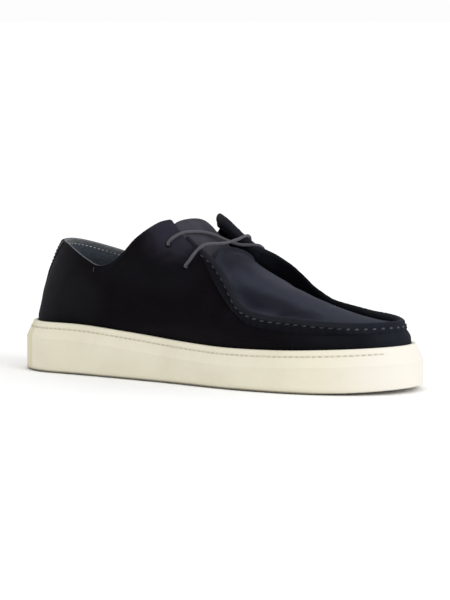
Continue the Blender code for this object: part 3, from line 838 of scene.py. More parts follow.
def rubber():
    """Cream moulded rubber with faint mottling and pores, darker towards the bottom, with painted shade along
    the bottom edge and on the heel's back face, and painted light at the toe.
    """
    r = Recipe("sole_rubber_cream", Specular_IOR_Level=0.40)
    mottle = r.noise(26.0, 5.0, 0.6, twist=0.6)
    pores = r.noise(900.0, 3.0, 0.55)
    specks = r.noise(420.0, 2.0, 0.7)
    x, _, z = r.axes(r.place())
    # Darker towards the bottom, in soft patches, over the lowest four millimetres.
    darker_low = r.sums("MULTIPLY", r.remap(z, 0.0040, 0.0010), r.remap(mottle, 0.35, 0.65, 0.1, 0.5))
    # Painted contact shade: the lowest two millimetres of the wall darkened almost to black, less towards the
    # toe.
    painted_contact_shade = r.sums("MULTIPLY", r.remap(z, 0.0021, 0.0012), r.remap(mottle, 0.35, 0.65, 0.8, 1.0))
    painted_contact_shade = r.sums("MULTIPLY", painted_contact_shade, r.remap(x, 0.135, 0.075, 0.25, 0.85))
    colour = (0.662, 0.624, 0.484)
    for amount, tint in (
        (r.remap(mottle, 0.30, 0.70), (0.730, 0.694, 0.554)),
        (r.remap(specks, 0.66, 0.80, 0.0, 0.22), (0.48, 0.43, 0.30)),
        # Painted shade: darker and yellower on the heel's back face, which turns away from the light.
        (r.remap(x, -0.1300, -0.1312, 0.0, 0.8), (0.61, 0.56, 0.385)),
        # Painted light: whiter and less yellow towards the toe, where the light falls.
        (r.remap(x, 0.105, 0.138, 0.0, 0.8), (0.710, 0.675, 0.622)),
        (darker_low, (0.36, 0.32, 0.22)),
        # Painted contact shade along the bottom edge.
        (painted_contact_shade, (0.10, 0.09, 0.062)),
    ):
        colour = r.blend(amount, colour, tint)
    return r.finish(colour, r.spread(pores, 0.48, 0.62), (pores, 0.00010, 0.35), (mottle, 0.0008, 0.10))


def weave(name, dark, light, pitch=0.0009):
    """Woven textile laid out along the UV map."""
    r = Recipe(name, Sheen_Weight=0.25, Sheen_Roughness=0.5, Specular_IOR_Level=0.18)
    u, v, _ = r.axes(r.coordinates("UV"))
    over, under = (r.sums("SINE", r.sums("MULTIPLY", axis, TAU / pitch)) for axis in (u, v))
    strands = r.sums("MAXIMUM", r.sums("ABSOLUTE", over), r.sums("ABSOLUTE", under))
    height = r.sums("MULTIPLY_ADD", r.sums("MULTIPLY", over, under), 0.35, strands)
    wander = r.noise(45.0, 4.0, 0.6)
    melange = r.noise(700.0, 3.0, 0.7)
    shade = r.sums("MULTIPLY_ADD", r.spread(melange), 0.55, r.sums("MULTIPLY", r.spread(wander), 0.35))
    colour = r.blend(shade, dark, light)
    # Painted shade: darker between the strands, where the weave sinks.
    colour = r.blend(r.remap(height, 0.2, 0.9, 0.35, 0.0), colour, tinted(dark, 0.4))
    return r.finish(colour, r.remap(melange, 0.2, 0.8, 0.82, 0.96),
                    (height, 0.00018, 0.6), (melange, 0.00015, 0.4))


def thread(name, dark, light):
    """Waxed sewing thread: fine twisted plies."""
    r = Recipe(name, Specular_IOR_Level=0.3, Sheen_Weight=0.15)
    inputs = {"Vector": r.place(turn=(0.4, 0.3, 0.8)), "Scale": 130.0, "Distortion": 1.0}
    plies = r.add("TexWave", inputs).outputs[1]
    mix = r.noise(300.0, 3.0, 0.6)
    # The colour follows the plies, darker in the grooves between them: painted shade, with the thread's own
    # tone.
    colour = r.blend(r.sums("MULTIPLY_ADD", plies, 0.5, r.sums("MULTIPLY", mix, 0.5)), dark, light)
    return r.finish(colour, r.spread(mix, 0.6, 0.75), (plies, 0.0001, 0.5))


def braid(name, dark, light):
    """Round braided cord, its plies crossing along the UV map."""
    r = Recipe(name, Sheen_Weight=0.08, Sheen_Roughness=0.4, Specular_IOR_Level=0.15)
    u, v, _ = r.axes(r.coordinates("UV"))
    along = r.sums("MULTIPLY", u, TAU / 0.0018)
    around = r.sums("MULTIPLY", v, 4 / LACE_RADIUS)
    left, right = (r.sums("SINE", r.sums(way, along, around)) for way in ("ADD", "SUBTRACT"))
    plait = r.sums("MAXIMUM", left, right)
    fibre = r.noise(2400.0, 3.0, 0.7)
    # Lighter on the plies and darker between them: painted shade, with the fibre's own tone.
    shade = r.sums("MULTIPLY_ADD", r.remap(plait, 0.0, 1.0), 0.65, r.sums("MULTIPLY", fibre, 0.45))
    return r.finish(r.blend(shade, dark, light), r.remap(fibre, 0.2, 0.8, 0.6, 0.85),
                    (plait, 0.00030, 0.7), (fibre, 0.00012, 0.4))


# Soft patches where the suede is laid lighter or darker: middle and reach in millimetres. Besides the nap's
# own tone, the rows marked below paint sheen, light and shade into the colour.
PATCH_FIELDS = "place reach colour amount"
WRAP_NAP_AND_PAINTED_LIGHT = rows(
    PATCH_FIELDS,
    # Painted sheen: lighter round the heel, where it curves away.
    ((-90, -38, 52), (26, 30, 25), (0.0068, 0.0062, 0.0074), 0.9),
    ((-128, -20, 60), (44, 70, 56), (0.0108, 0.0102, 0.0116), 0.9),
    ((-30, -46, 29), (120, 30, 13), (0.0066, 0.0056, 0.0066), 0.8),
    ((-28, -44, 72), (60, 40, 19), (0.0052, 0.0047, 0.0063), 0.8),
    # Painted light: lighter on the top of the near flap.
    ((-14, -30, 100), (34, 40, 24), (0.0240, 0.0220, 0.0325), 1.0),
    ((-34, -28, 107), (40, 30, 10), (0.0270, 0.0250, 0.0350), 0.8),
    # Painted light: lighter on the toe's wall and its tip.
    ((124, -30, 40), (62, 60, 34), (0.0062, 0.0069, 0.0095), 0.9),
    ((148, -14, 40), (26, 50, 22), (0.0118, 0.0150, 0.0198), 0.9),
)
BAND_NAP_AND_PAINTED_LIGHT = rows(
    PATCH_FIELDS,
    # Painted shade: near black along the far inner wall of the raised seam.
    ((50, 36, 70), (90, 22, 50), (0.0009, 0.0009, 0.0016), 0.95),
    # Lighter at the far flap's corner: partly its cut edge, partly a painted highlight.
    ((-17, 26, 105), (7, 9, 7), (0.0240, 0.0240, 0.0230), 0.9),
    # Painted light: lighter on the band at the toe.
    ((134, -14, 46), (34, 60, 16), (0.0126, 0.0146, 0.0206), 0.9),
)
PLUG_NAP_AND_PAINTED_LIGHT = rows(
    PATCH_FIELDS,
    ((10, 0, 84), (34, 50, 22), (0.0120, 0.0126, 0.0180), 0.9),
    # Painted shade: darker in the trough along the near roll.
    ((64, -26, 56), (66, 13, 24), (0.0080, 0.0086, 0.0130), 0.85),
    # Painted highlight: lighter down the middle of the plug.
    ((54, 8, 74), (40, 20, 24), (0.0400, 0.0412, 0.0540), 0.9),
)
TONGUE_NAP = rows(PATCH_FIELDS, ((-8, 10, 96), (20, 24, 22), (0.0255, 0.0245, 0.0310), 0.85))

SUEDE_WRAP = suede("suede_wrap", (0.0024, 0.0018, 0.0024), (0.0044, 0.0034, 0.0045), WRAP_NAP_AND_PAINTED_LIGHT)
SUEDE_BAND = suede("suede_band", (0.0037, 0.0037, 0.0057), (0.0067, 0.0069, 0.0100), BAND_NAP_AND_PAINTED_LIGHT)
# A lighter copy of the band's suede for the roll's crest: painted light where it faces up.
SUEDE_ROLL_LIT = suede("suede_roll_lit", (0.0098, 0.0103, 0.0138), (0.0162, 0.0170, 0.0222), BAND_NAP_AND_PAINTED_LIGHT)
# The plug's and the tongue's suede are far lighter copies of the wrap's: painted sheen and light on faces
# that look up, over their own nap.
SUEDE_PLUG_PAINTED_SHEEN = suede("suede_plug_painted_sheen", (0.0195, 0.0212, 0.0315), (0.0300, 0.0326, 0.0475), PLUG_NAP_AND_PAINTED_LIGHT)
SUEDE_TONGUE_PAINTED_SHEEN = suede("suede_tongue_painted_sheen", (0.0350, 0.0335, 0.0420), (0.0490, 0.0475, 0.0600), TONGUE_NAP)
# The wrap's inner face: a darker copy of the suede, painted shade.
FACING_PAINTED_SHADE = suede("suede_facing_painted_shade", (0.0010, 0.0010, 0.0015), (0.0024, 0.0026, 0.0036))
STAY_LEATHER = smooth_leather("heel_leather", (0.0010, 0.0010, 0.0013), (0.0026, 0.0026, 0.0033))
LINING = weave("lining_weave", (0.034, 0.046, 0.062), (0.100, 0.124, 0.154))
LINING_EDGE = weave("lining_binding", (0.080, 0.087, 0.095), (0.225, 0.236, 0.248), pitch=0.0007)
INSOLE_CLOTH = weave("insole_weave", (0.030, 0.040, 0.055), (0.083, 0.102, 0.128), pitch=0.0012)
RUBBER = rubber()
BLACK_THREAD = thread("thread_black", (0.0020, 0.0020, 0.0026), (0.0046, 0.0046, 0.0058))
DARK_THREAD = thread("thread_dark", (0.008, 0.008, 0.012), (0.022, 0.023, 0.029))
SEAM_THREAD = thread("thread_seam", (0.012, 0.013, 0.017), (0.028, 0.030, 0.038))
# A lighter copy of the seam's thread for the toe: painted light.
TOE_THREAD_LIT = thread("thread_toe_lit", (0.030, 0.033, 0.042), (0.066, 0.071, 0.087))
BAR_THREAD = thread("thread_bar", (0.024, 0.024, 0.027), (0.050, 0.050, 0.054))
PALE_THREAD = thread("thread_pale", (0.34, 0.35, 0.36), (0.60, 0.61, 0.62))
CREAM_THREAD = thread("thread_cream", (0.44, 0.41, 0.31), (0.62, 0.59, 0.47))
LACE_CORD = braid("lace_braid", (0.040, 0.040, 0.048), (0.102, 0.101, 0.119))


# ---------------------------------------------------------------------------
# Upper: wrap and linings.

def of_upper(piece):
    stands_for(piece, "upper")


def crease_relief(height, points):
    """Soft troughs and ridges of the wrap."""
    relief = np.zeros(height.shape)
    for row in CREASES:
        start = wrap_spot(turn_of(row.share_a, row.side), row.height_a)
        along = wrap_spot(turn_of(row.share_b, row.side), row.height_b) - start
        t = ((points - start) @ along) / (along @ along)
        foot = start + np.clip(t, 0, 1)[..., None] * along
        away = np.linalg.norm(points - foot, axis=-1)
        relief -= ridge(away, row.depth, 0, row.width) * ease(t, -0.25, 0.15) * (1 - ease(t, 0.45, 1.15))
    return relief


def seam_run(turn):
    """Length along the wrap's edge from the middle of the toe."""
    dense = np.linspace(0, TAU, 8001)
    run = run_length(top_edge(dense))
    return np.interp(turn, dense, run) - np.interp(math.pi, dense, run)


def pucker(turn):
    """Gathers of the wrap under the raised seam, from 0 between to 1 on them."""
    run = seam_run(turn)
    wave = 0.5 + 0.5 * np.cos(TAU * run / PUCKER_PITCH)
    uneven = 0.75 + 0.25 * np.sin(run * 310.0 + 0.7)
    return wave * uneven * ease(share_of(turn), PUCKER_START, PUCKER_START + 0.08)


def clear_of_eyelets(points):
    """False for points in the punched holes."""
    kept = np.ones(len(points), bool)
    for centre, outward in eyelet_places():
        along = (points - centre) @ outward
        across = np.linalg.norm(points - centre - along[:, None] * outward, axis=1)
        kept &= (across > EYELET_HOLE) | (np.abs(along) > HOLE_DEPTH)
    return kept


def bridge_eyelets(piece):
    """Joins the outer and inner edges of each punched hole."""
    mesh = opened(piece.data)
    for centre, _ in eyelet_places():
        near = [edge for edge in mesh.edges if (edge.verts[0].co - Vector(centre)).length < HOLE_REACH]
        bmesh.ops.bridge_loops(mesh, edges=[edge for edge in near if edge.is_boundary])
    closed(mesh, piece.data)


def inner_face(turn, height, extra=0.0):
    """Inner face of the wrap, extra further in."""
    face = wrap_point(turn, height)
    return face - grid_normal(face) * (wrap_wall(turn, height) + extra)[..., None]


def flap_front(turn):
    """1 along the open front edge of the near flap, 0 elsewhere."""
    share = share_of(turn)
    return ease(share, 0.383, 0.397) * (1 - ease(share, 0.50, 0.54)) * (np.sin(turn) > 0)


def wrap_relief(turn, height, face):
    share = share_of(turn)
    size = np.linalg.norm(face[:, -1] - face[:, 0], axis=-1)[:, None]
    under_edge = (1 - height) * size
    over_rim = height * size
    relief = crease_relief(height, face)
    relief += ease(share, 0.47, 0.53) * (ridge(under_edge, 0.40, 5.0, 3.0) - shore(under_edge, 0.80, 1.1))
    relief += (pucker(turn) - 0.4) * shore(under_edge, 0.55, 2.6) * ease(under_edge, -0.1 * MM, 0.8 * MM)
    relief += ridge(over_rim, 0.25, 4.5, 3.0) - shore(over_rim, 0.35, 1.4)
    relief += (1 - ease(share, 0.34, 0.38)) * ridge(under_edge, 0.25, 4.0, 2.6)
    for centre, _ in eyelet_places():
        relief -= ridge(np.linalg.norm(face - centre, axis=-1), 0.40, 0, 3.0)
    return relief


def rim_arc(turn, top, outward, up, wall):
    """Rounded edge of the wrap, from its outer face to its inner one."""
    bulge = 0.85 - 0.60 * flap_front(turn)[:, None]
    middle = top - outward * wall / 2
    arms = [outward * math.cos(angle) + up * math.sin(angle) * bulge for angle in np.linspace(0, math.pi, 9)]
    return [middle + arm * wall / 2 for arm in arms]


def columns(grid):
    return list(grid.swapaxes(0, 1))


def wrap():
    """The wrap as one hollow body: outer face, rounded edge and inner face."""
    around = stations(761, weight=lambda share: 1 + 0.8 * (share > 0.36) * (share < 0.52))[:-1]
    spans = ((0, 0.70, 20), (0.70, 0.88, 28), (0.88, 1.0, 22))
    level = np.unique(np.concatenate([np.linspace(*span) for span in spans]).round(6))
    turn, height = np.meshgrid(around, level, indexing="ij")
    face = wrap_point(turn, height)
    normal = grid_normal(face, round_u=True)
    outer = face + normal * wrap_relief(turn, height, face)[..., None]
    wall = (wrap_wall(around, 1.0) * (1 - 0.55 * flap_front(around)))[:, None]
    up = unit(face[:, -1] - face[:, -6])
    into_cup = (0, 0, -7 * MM)
    strips = [outer[:, 0] + into_cup - normal[:, 0] * (1, 1, 0) * 0.4 * MM, *columns(outer)]
    strips += rim_arc(around, outer[:, -1], normal[:, -1], up, wall)[1:]
    # From the inner half of the rim on, the wrap takes the darker facing suede: painted shade.
    first_shaded_facing = len(strips) - 4
    turn, height = np.meshgrid(around, np.linspace(0, 0.97, 26), indexing="ij")
    thin = 0.55 * flap_front(turn) * ease(height, 0.80, 1.0)
    inner = inner_face(turn, height, -wrap_wall(turn, height) * thin)
    strips += [*columns(inner)[::-1], inner[:, 0] + into_cup]
    piece = skin("wrap", np.stack(strips, axis=1), SUEDE_WRAP, round_u=True, round_v=True,
                 keep=clear_of_eyelets, band=(first_shaded_facing, len(strips) - 1, FACING_PAINTED_SHADE))
    bridge_eyelets(piece)
    of_upper(seal(piece))


def strip_along(turn, heights):
    """Narrow strip of the wrap's outer face, through several heights at each turn."""
    return wrap_point(np.stack([turn] * len(heights), axis=1), np.stack(heights, axis=1))


def collar_lining():
    """Lining sewn over the collar's edge and down to the insole."""
    end = turn_of(0.366)
    around = stations(430, -end, end)
    top = np.ones(len(around))
    strip = strip_along(around, [top - 0.04, top - 0.02, top])
    outward = grid_normal(strip)[:, 2]
    wall = wrap_wall(around, 1.0)[:, None]
    over = rim_arc(around, strip[:, 2], outward, unit(strip[:, 2] - strip[:, 1]), wall + 0.9 * MM)
    over = [point + outward * 0.45 * MM for point in over[4:]]
    level = np.concatenate([np.linspace(0.0, 0.80, 20), np.linspace(0.83, 0.975, 18)])
    turn, height = np.meshgrid(around, level, indexing="ij")
    under_edge = (1 - height) * wrap_size(around)[:, None]
    extra = 0.45 * MM + ridge(under_edge, 0.9, 9.0, 6.0) - ridge(under_edge, 0.25, 2.6, 0.7)
    extra += 0.15 * MM * np.sin(turn * 23.0 + height * 9.0) * np.sin(turn * 11.0 + 1.3)
    inner = inner_face(turn, height, extra)
    face = np.stack([*over, *columns(inner)[::-1], inner[:, 0] + (0, 0, -9 * MM)], axis=1)
    of_upper(slab("collar_lining", face, (1, 0, 0), LINING, LINING_WALL, band=(0, 7, LINING_EDGE)))


def collar_stitches():
    """Stitches through the lining under the collar's edge."""
    end = turn_of(0.352)
    turn = stations(700, -end, end)
    height = 1 - 2.6 * MM / wrap_size(turn)
    grid = strip_along(turn, [height - 0.01, height, height + 0.01])
    normal = grid_normal(grid)[:, 1]
    path = grid[:, 1] - normal * (wrap_wall(turn, height)[:, None] + 0.42 * MM)
    of_upper(stitch_row("collar_stitches", path, -normal, PALE_THREAD, 2.9 * MM, 2.0 * MM, 0.34 * MM))


def bar_tacks():
    """Short upright bar of thread under the lowest point of each side of the collar."""
    tacks = []
    height = np.linspace(0.975, 0.900, 24)
    for side in (1, -1):
        sweep = side * np.linspace(turn_of(0.12), turn_of(0.24), 200)
        goal = wrap_spot(side * turn_of(COLLAR_LOW_SHARE), height[0])[0]
        turn = np.array([
            np.interp(goal, wrap_point(sweep, np.full(200, level))[:, 0], sweep) for level in height
        ])
        around = np.stack([turn - 0.01, turn, turn + 0.01], axis=1)
        face = wrap_point(around, np.stack([height] * 3, axis=1))
        outward = grid_normal(face)[:, 1]
        outward *= np.sign(outward[12, 1]) * -side
        tacks.append(stitch_row("tack", face[:, 1], outward, BAR_THREAD, 0.62 * MM, 0.5 * MM, 0.40 * MM,
                                sink=0.05 * MM))
    of_upper(join("bar_tacks", tacks))


# ---------------------------------------------------------------------------
# Upper: raised seam and plug.

def closed_curve(knots, per):
    """Closed smooth curves through knots of shape (knot, station, 2)."""
    samples = []
    for k in range(len(knots)):
        a, b, c, d = (knots[(k + step) % len(knots)] for step in (-1, 0, 1, 2))
        for t in np.linspace(0, 1, per, endpoint=False):
            samples.append(0.5 * ((2 * b) + (c - a) * t + (2 * a - 5 * b + 4 * c - d) * t**2
                                  + (3 * b - a - 3 * c + d) * t**3))
    return np.stack(samples)


def band_profile(turn):
    """Section knots of the raised seam: offset towards the plug, and height."""
    share = share_of(turn)
    crease = top_edge(turn)[:, 2]
    crest = crest_height(turn)
    radius = sided(ROLL, "", turn)
    puff = smooth(ROLL, "puff", share) * MM
    band = np.clip(crest - 1.72 * radius - crease, 0.25 * MM, None)
    full = ease(band, 0.5 * MM, 4.0 * MM)
    gather = pucker(turn)
    ripple = (gather - 0.35) * 0.60 * MM
    reach = radius + (gather - 0.4) * 0.12 * MM
    centre = two_sided(turn, SEAM_INSET - 0.9 * MM * (1 - ease(share, 0.56, 0.66)), SEAM_INSET + 0.1 * MM)
    foot = np.minimum(plug_edge_height(turn), crest - 1.9 * radius)
    knots = [
        (0.9 * MM, crease - 1.6 * MM),
        (0.10 * MM - 0.35 * MM * full - ripple * 0.9, crease + 0.15 * MM),
        (0.10 * MM - puff * full - ripple, crease + 0.36 * band),
        (0.15 * MM - puff * 0.55 * full - ripple * 0.6, crease + 0.72 * band),
        (0.62 * MM + 0.10 * MM * full - ripple * 0.2, crease + band),
    ]
    for angle in np.radians(ROLL_DEGREES):
        knots.append((centre + reach * np.cos(angle), crest - radius + reach * np.sin(angle)))
    knots += [
        (centre + radius * 0.70, foot + 0.45 * (crest - 1.3 * radius - foot)),
        (centre + radius * 0.72, foot + 0.4 * MM),
        (centre + radius * 0.55, foot - 1.6 * MM),
        (2.0 * MM, np.minimum(crease, foot) - 2.4 * MM),
    ]
    return np.stack([np.stack(np.broadcast_arrays(o, z), axis=-1) for o, z in knots])


def on_seam(turn, section):
    """Points in space from section coordinates at each station."""
    plan = top_edge(turn)[:, None, :2] + seam_across(turn)[:, None] * section[..., :1]
    return np.concatenate([plan, section[..., 1:]], axis=-1)


def raised_seam():
    turn = stations(840, turn_of(SEAM_START_LATERAL), turn_of(SEAM_START_MEDIAL, 1), height=1.0)
    section = closed_curve(band_profile(turn), SECTION_STEPS).transpose(1, 0, 2)
    run = run_length(top_edge(turn))
    end = rounding(np.minimum(run, run[-1] - run) + 0.05 * MM, 3.2 * MM)[:, None, None]
    middle = section.mean(axis=1, keepdims=True)
    grid = on_seam(turn, middle + (section - middle) * end)
    of_upper(seal(skin("raised_seam", grid, SUEDE_BAND, round_v=True, band=(*LIT_ROLL_COLUMNS, SUEDE_ROLL_LIT))))


def seam_stitches(name, first, last, finish, length, radius):
    """Hand stitches beside the roll; first and last count gathers from the middle of the toe."""
    turn = stations(1400, turn_of(SEAM_START_LATERAL), turn_of(SEAM_START_LATERAL, 1), height=1.0)
    path = on_seam(turn, band_profile(turn)[4:5].transpose(1, 0, 2))[:, 0]
    normal = unit(lifted(-seam_across(turn), np.full(len(turn), 0.12)))
    begin = seam_run(turn)[0]
    of_upper(stitch_row(name, path, normal, finish, PUCKER_PITCH, length * MM, radius * MM, sink=-0.15 * MM,
                        start=first * PUCKER_PITCH - begin, stop=last * PUCKER_PITCH - begin, slant=0.12))


def plug():
    dense = np.linspace(turn_of(PLUG_START), math.pi - 0.004, 400)
    run = run_length(plug_point(share_of(dense), np.full(400, 0.5)))
    from_end = (edged(150, 0.012, 0.001) * run[-1])[:, None]
    share = share_of(np.interp(from_end[:, 0], run, dense))
    share, across = np.meshgrid(share, np.linspace(0, 1, 96), indexing="ij")
    face = plug_point(share, across)
    width = np.linalg.norm(face[:, -1] - face[:, 0], axis=-1)[:, None]
    near, far = across * width, (1 - across) * width
    body = ease(from_end, 2.0 * MM, 12.0 * MM)
    broad = ease(width, 30 * MM, 60 * MM) * body
    relief = (ridge(near, 0.45, 5.0, 2.2) - ridge(near, 0.75, 10.5, 4.6) - ridge(far, 0.50, 8.0, 4.5)) * broad
    relief += 0.60 * MM * bell(across - 0.52, 0.22) * body
    wave = np.cos(TAU * share * 290.0 + 0.4) * ease(share, 0.58, 0.66)
    relief += wave * (shore(near, 0.16, 4.5) + shore(far, 0.16, 4.5))
    relief += ridge(from_end, 0.95, 2.0, 1.7) - ridge(from_end, 0.45, 6.2, 2.4)
    relief += 0.30 * MM * np.sin(from_end * 95.0 + across * 3.0) * bell(across - 0.5, 0.35) * body
    relief -= 3.2 * MM * (1 - ease(far, 0.0, 7.0 * MM)) * (1 - ease(from_end, 2.0 * MM, 14.0 * MM))
    face = face + facing(face, (0, 0, 1)) * relief[..., None]
    of_upper(slab("plug", face, (0, 0, 1), SUEDE_PLUG_PAINTED_SHEEN, PLUG_WALL, round_last=False))


# ---------------------------------------------------------------------------
# Upper: heel stay and eyelets.

def heel_stay():
    level = -0.08 + 1.08 * edged(70, 0.012, 0.030)
    across = 2 * edged(44, 0.03) - 1
    dense = np.linspace(0, 1.2, 400)
    widest = [
        np.interp(half, run_length(wrap_point(dense, np.full(len(dense), max(height, 0.0)))), dense)
        for height, half in zip(level, smooth(STAY, "half", level) * MM)
    ]
    height = np.repeat(level[:, None], len(across), axis=1)
    face = wrap_point(across * np.array(widest)[:, None], np.clip(height, 0, None))
    face[..., 2] += np.clip(height, None, 0) * STAY_HEIGHT
    normal = facing(face, (-1, 0, 0))
    from_side = (1 - np.abs(across))[None, :] * STAY_HALF_WIDTH
    grain = 0.10 * MM * np.sin(height * STAY_HEIGHT * 420)
    face = face + normal * (STAY_LIFT - ridge(from_side, 0.25, 2.2, 0.5) + grain)[..., None]
    of_upper(slab("heel_stay", face, (-1, 0, 0), STAY_LEATHER, STAY_WALL))
    for number, place in enumerate(STAY_STITCHES, 1):
        k = int(round(place * (len(across) - 1)))
        row = face[4:-3, k], normal[4:-3, k]
        of_upper(stitch_row(f"heel_stitches_{number}", *row, BLACK_THREAD, *FINE_STITCH))


def eyelets():
    """Rolled edges of the punched holes, through the wall of each flap."""
    rings = []
    angle = np.linspace(0, TAU, 28, endpoint=False)[:, None]
    for centre, outward in eyelet_places():
        first = unit(np.cross(outward, (0.0, 0.0, 1.0)))
        arm = first * np.cos(angle) + np.cross(outward, first) * np.sin(angle)
        section = [centre + (arm * r + outward * (z - EYELET_SEAT)) * MM for r, z in EYELET_SECTION]
        grid = np.stack(section, axis=1)
        rings.append(seal(skin("eyelet", grid, SUEDE_BAND, round_u=True, round_v=True)))
    of_upper(join("eyelets", rings))


# ---------------------------------------------------------------------------
# Tongue.

def tongue():
    reach, across = np.meshgrid(edged(110, 0.012), 2 * edged(64, 0.028) - 1, indexing="ij")
    line = reach * (1 - TONGUE_TIP_ROUND * reach**2 * np.clip(across, 0, 1) ** 3)
    line = line * (1 - TONGUE_CORNER_ROUND * reach**6 * np.abs(across) ** 4)
    face = tongue_point(line, across)
    outward = (-0.6, 0, 0.8)
    normal = facing(face, outward)
    edge = (1 - np.abs(across)) * TONGUE_HALF_WIDTH
    tip = (1 - reach) * TONGUE_LENGTH
    border = np.minimum(edge, tip)
    relief = 0.45 * MM * ease(border, 3.5 * MM, 9.0 * MM) - ridge(border, 0.25, 3.0, 0.6)
    relief += 0.25 * MM * np.sin(reach * 14.0 + across * 2.0) * ease(border, 2 * MM, 10 * MM)
    face = face + normal * (relief - 0.30 * MM)[..., None]
    stands_for(slab("tongue_pad", face, outward, SUEDE_TONGUE_PAINTED_SHEEN, TONGUE_WALL), "tongue")
    k = int(np.argmin(np.abs(tip[:, 0] - 3.0 * MM)))
    inside = edge[0] > 3.0 * MM
    row = stitch_row("tongue_stitches", face[k, inside], normal[k, inside], DARK_THREAD, *FINE_STITCH)
    stands_for(row, "tongue")


# ---------------------------------------------------------------------------
# Cup sole and insole.

def of_sole(piece):
    stands_for(piece, "cup_sole")


def sole_wall():
    joint_turn = turn_of(MOULD_JOINT_SHARE)
    even = stations(901, height=0.0)[:-1]
    turn = np.sort(np.concatenate([even, joint_turn + np.linspace(-0.006, 0.006, 13)]))
    joint = bell(turn - joint_turn, MOULD_JOINT_WIDTH) + bell(TAU - turn - joint_turn, MOULD_JOINT_WIDTH)
    uneven = 0.05 * np.sin(turn * 37.0) * np.sin(turn * 13.0 + 0.6) + 0.18 * joint
    plain = ease(share_of(turn), GROOVE_END_SHARE - 0.010, GROOVE_END_SHARE + 0.012)
    strips = []
    for row in SOLE_WALL:
        inset = row.inset + uneven * (row.inset < 0.3)
        if row.drop is not None and GROOVE_LIP_DROP[0] < row.drop < GROOVE_LIP_DROP[1]:
            inset = inset + (np.interp(row.drop, GROOVE_LIP_DROP, GROOVE_LIP_INSET) - inset) * plain
        plan = inset_outline(turn, inset * MM)
        if row.lift is None:
            height = rim_height(plan[:, 0]) - row.drop * MM
        else:
            settled = 1 - 0.5 * ease(plan[:, 0], *SETTLED_X) * (row.lift < SETTLED_LIFT)
            height = spring(plan[:, 0]) + row.lift * MM * settled
        strips.append(lifted(plan, height))
    of_sole(seal(skin("sole_wall", np.stack(strips, axis=1), RUBBER, round_u=True, round_v=True)))


def across_sole(inset, count_u, count_v, start=0.0012):
    """Points across the sole, their share from side to side and their distance from the border."""
    turn = np.arccos(1 - 2 * np.linspace(start, 1 - start, count_u))
    near, far = inset_outline(turn, inset), inset_outline(TAU - turn, inset)
    across = edged(count_v, 0.02)[None, :]
    plan = near[:, None] * (1 - across[..., None]) + far[:, None] * across[..., None]
    x = plan[..., 0]
    width = np.linalg.norm(plan[:, -1] - plan[:, 0], axis=-1)[:, None]
    side = np.minimum(across, 1 - across) * width
    return plan, across, np.minimum(side, np.minimum(x - x.min(), x.max() - x))


def tread():
    plan, _, border = across_sole(1.9 * MM, 430, 120)
    x, y = plan[..., 0], plan[..., 1]
    inside = ease(border, TREAD_BORDER - 2.2 * MM, TREAD_BORDER - 1.4 * MM)
    cut = np.zeros_like(x)
    for first, last in LUG_RANGES:
        for share in np.arange(first, last, LUG_PITCH):
            away = np.abs(x - (share - 0.5) * OUTSOLE_LENGTH) - TREAD_WIDTH / 2
            cut = np.maximum(cut, 1 - ease(away, -0.3 * MM, 0.3 * MM))
    chevron = np.abs(((x + np.abs(y) * CHEVRON_SLOPE) / CHEVRON_PITCH) % 1.0 - 0.5) * 2
    fine = (1 - ease(chevron, 0.14, 0.34)) * CHEVRON_DEPTH
    line = (1 - ease(np.abs(border - BORDER_LINE), 0.35 * MM, 0.75 * MM)) * BORDER_LINE_DEPTH
    depth = np.maximum(inside * np.maximum(cut * TREAD_DEPTH, fine), line)
    low = lifted(plan, spring(x) + depth + 0.03 * MM)
    high = lifted(plan, rim_height(x) - CUP_DEPTH)
    grid = np.concatenate([low, high[:, ::-1][:, ::6], high[:, :1]], axis=1)
    of_sole(seal(skin("tread", grid, RUBBER, round_v=True, weld=True)))


def insole():
    inset = RIM_INSET + RIM_WIDTH + GAP + UPPER_WALL + GAP + INSOLE_CLEARANCE
    plan, across, border = across_sole(inset, 260, 82, 0.0008)
    x = plan[..., 0]
    height = rim_height(x) - CUP_DEPTH + INSOLE_THICKNESS + 0.3 * MM
    height += 1.9 * MM * (1 - ease(border, 0.5 * MM, 9.0 * MM))
    height += 1.2 * MM * bell(x + 0.02, 0.035) * ease(across, 0.35, 0.95)
    height -= 0.5 * MM * bell(x + 0.105, 0.024) * bell(across - 0.5, 0.35)
    height -= 0.4 * MM * bell(x - 0.055, 0.04) * bell(across - 0.5, 0.4)
    stands_for(slab("insole_pad", lifted(plan, height), (0, 0, 1), INSOLE_CLOTH, INSOLE_PAD),
               "insole")


def sole_stitches():
    """Thread laid in the groove under the sole's rim."""
    end = turn_of(GROOVE_END_SHARE)
    turn = stations(1400, -end, end, height=0.0)
    plan = inset_outline(turn, GROOVE_INSET * MM)
    path = lifted(plan, rim_height(plan[:, 0]) - GROOVE_DROP * MM)
    normal = unit(lifted(-inward(turn) * 0.905, np.full(len(turn), 0.43)))
    of_sole(stitch_row("sole_stitches", path, normal, CREAM_THREAD, 4.0 * MM, 3.3 * MM, 0.42 * MM,
                       sink=0.08 * MM))


# ---------------------------------------------------------------------------
# Lace.

def beside(eyelet, *moves):
    """Points out of an eyelet along its axis, then forward and up, in millimetres."""
    centre, outward = eyelet
    return [centre + (outward * out + (forward, 0, up)) * MM for out, forward, up in moves]


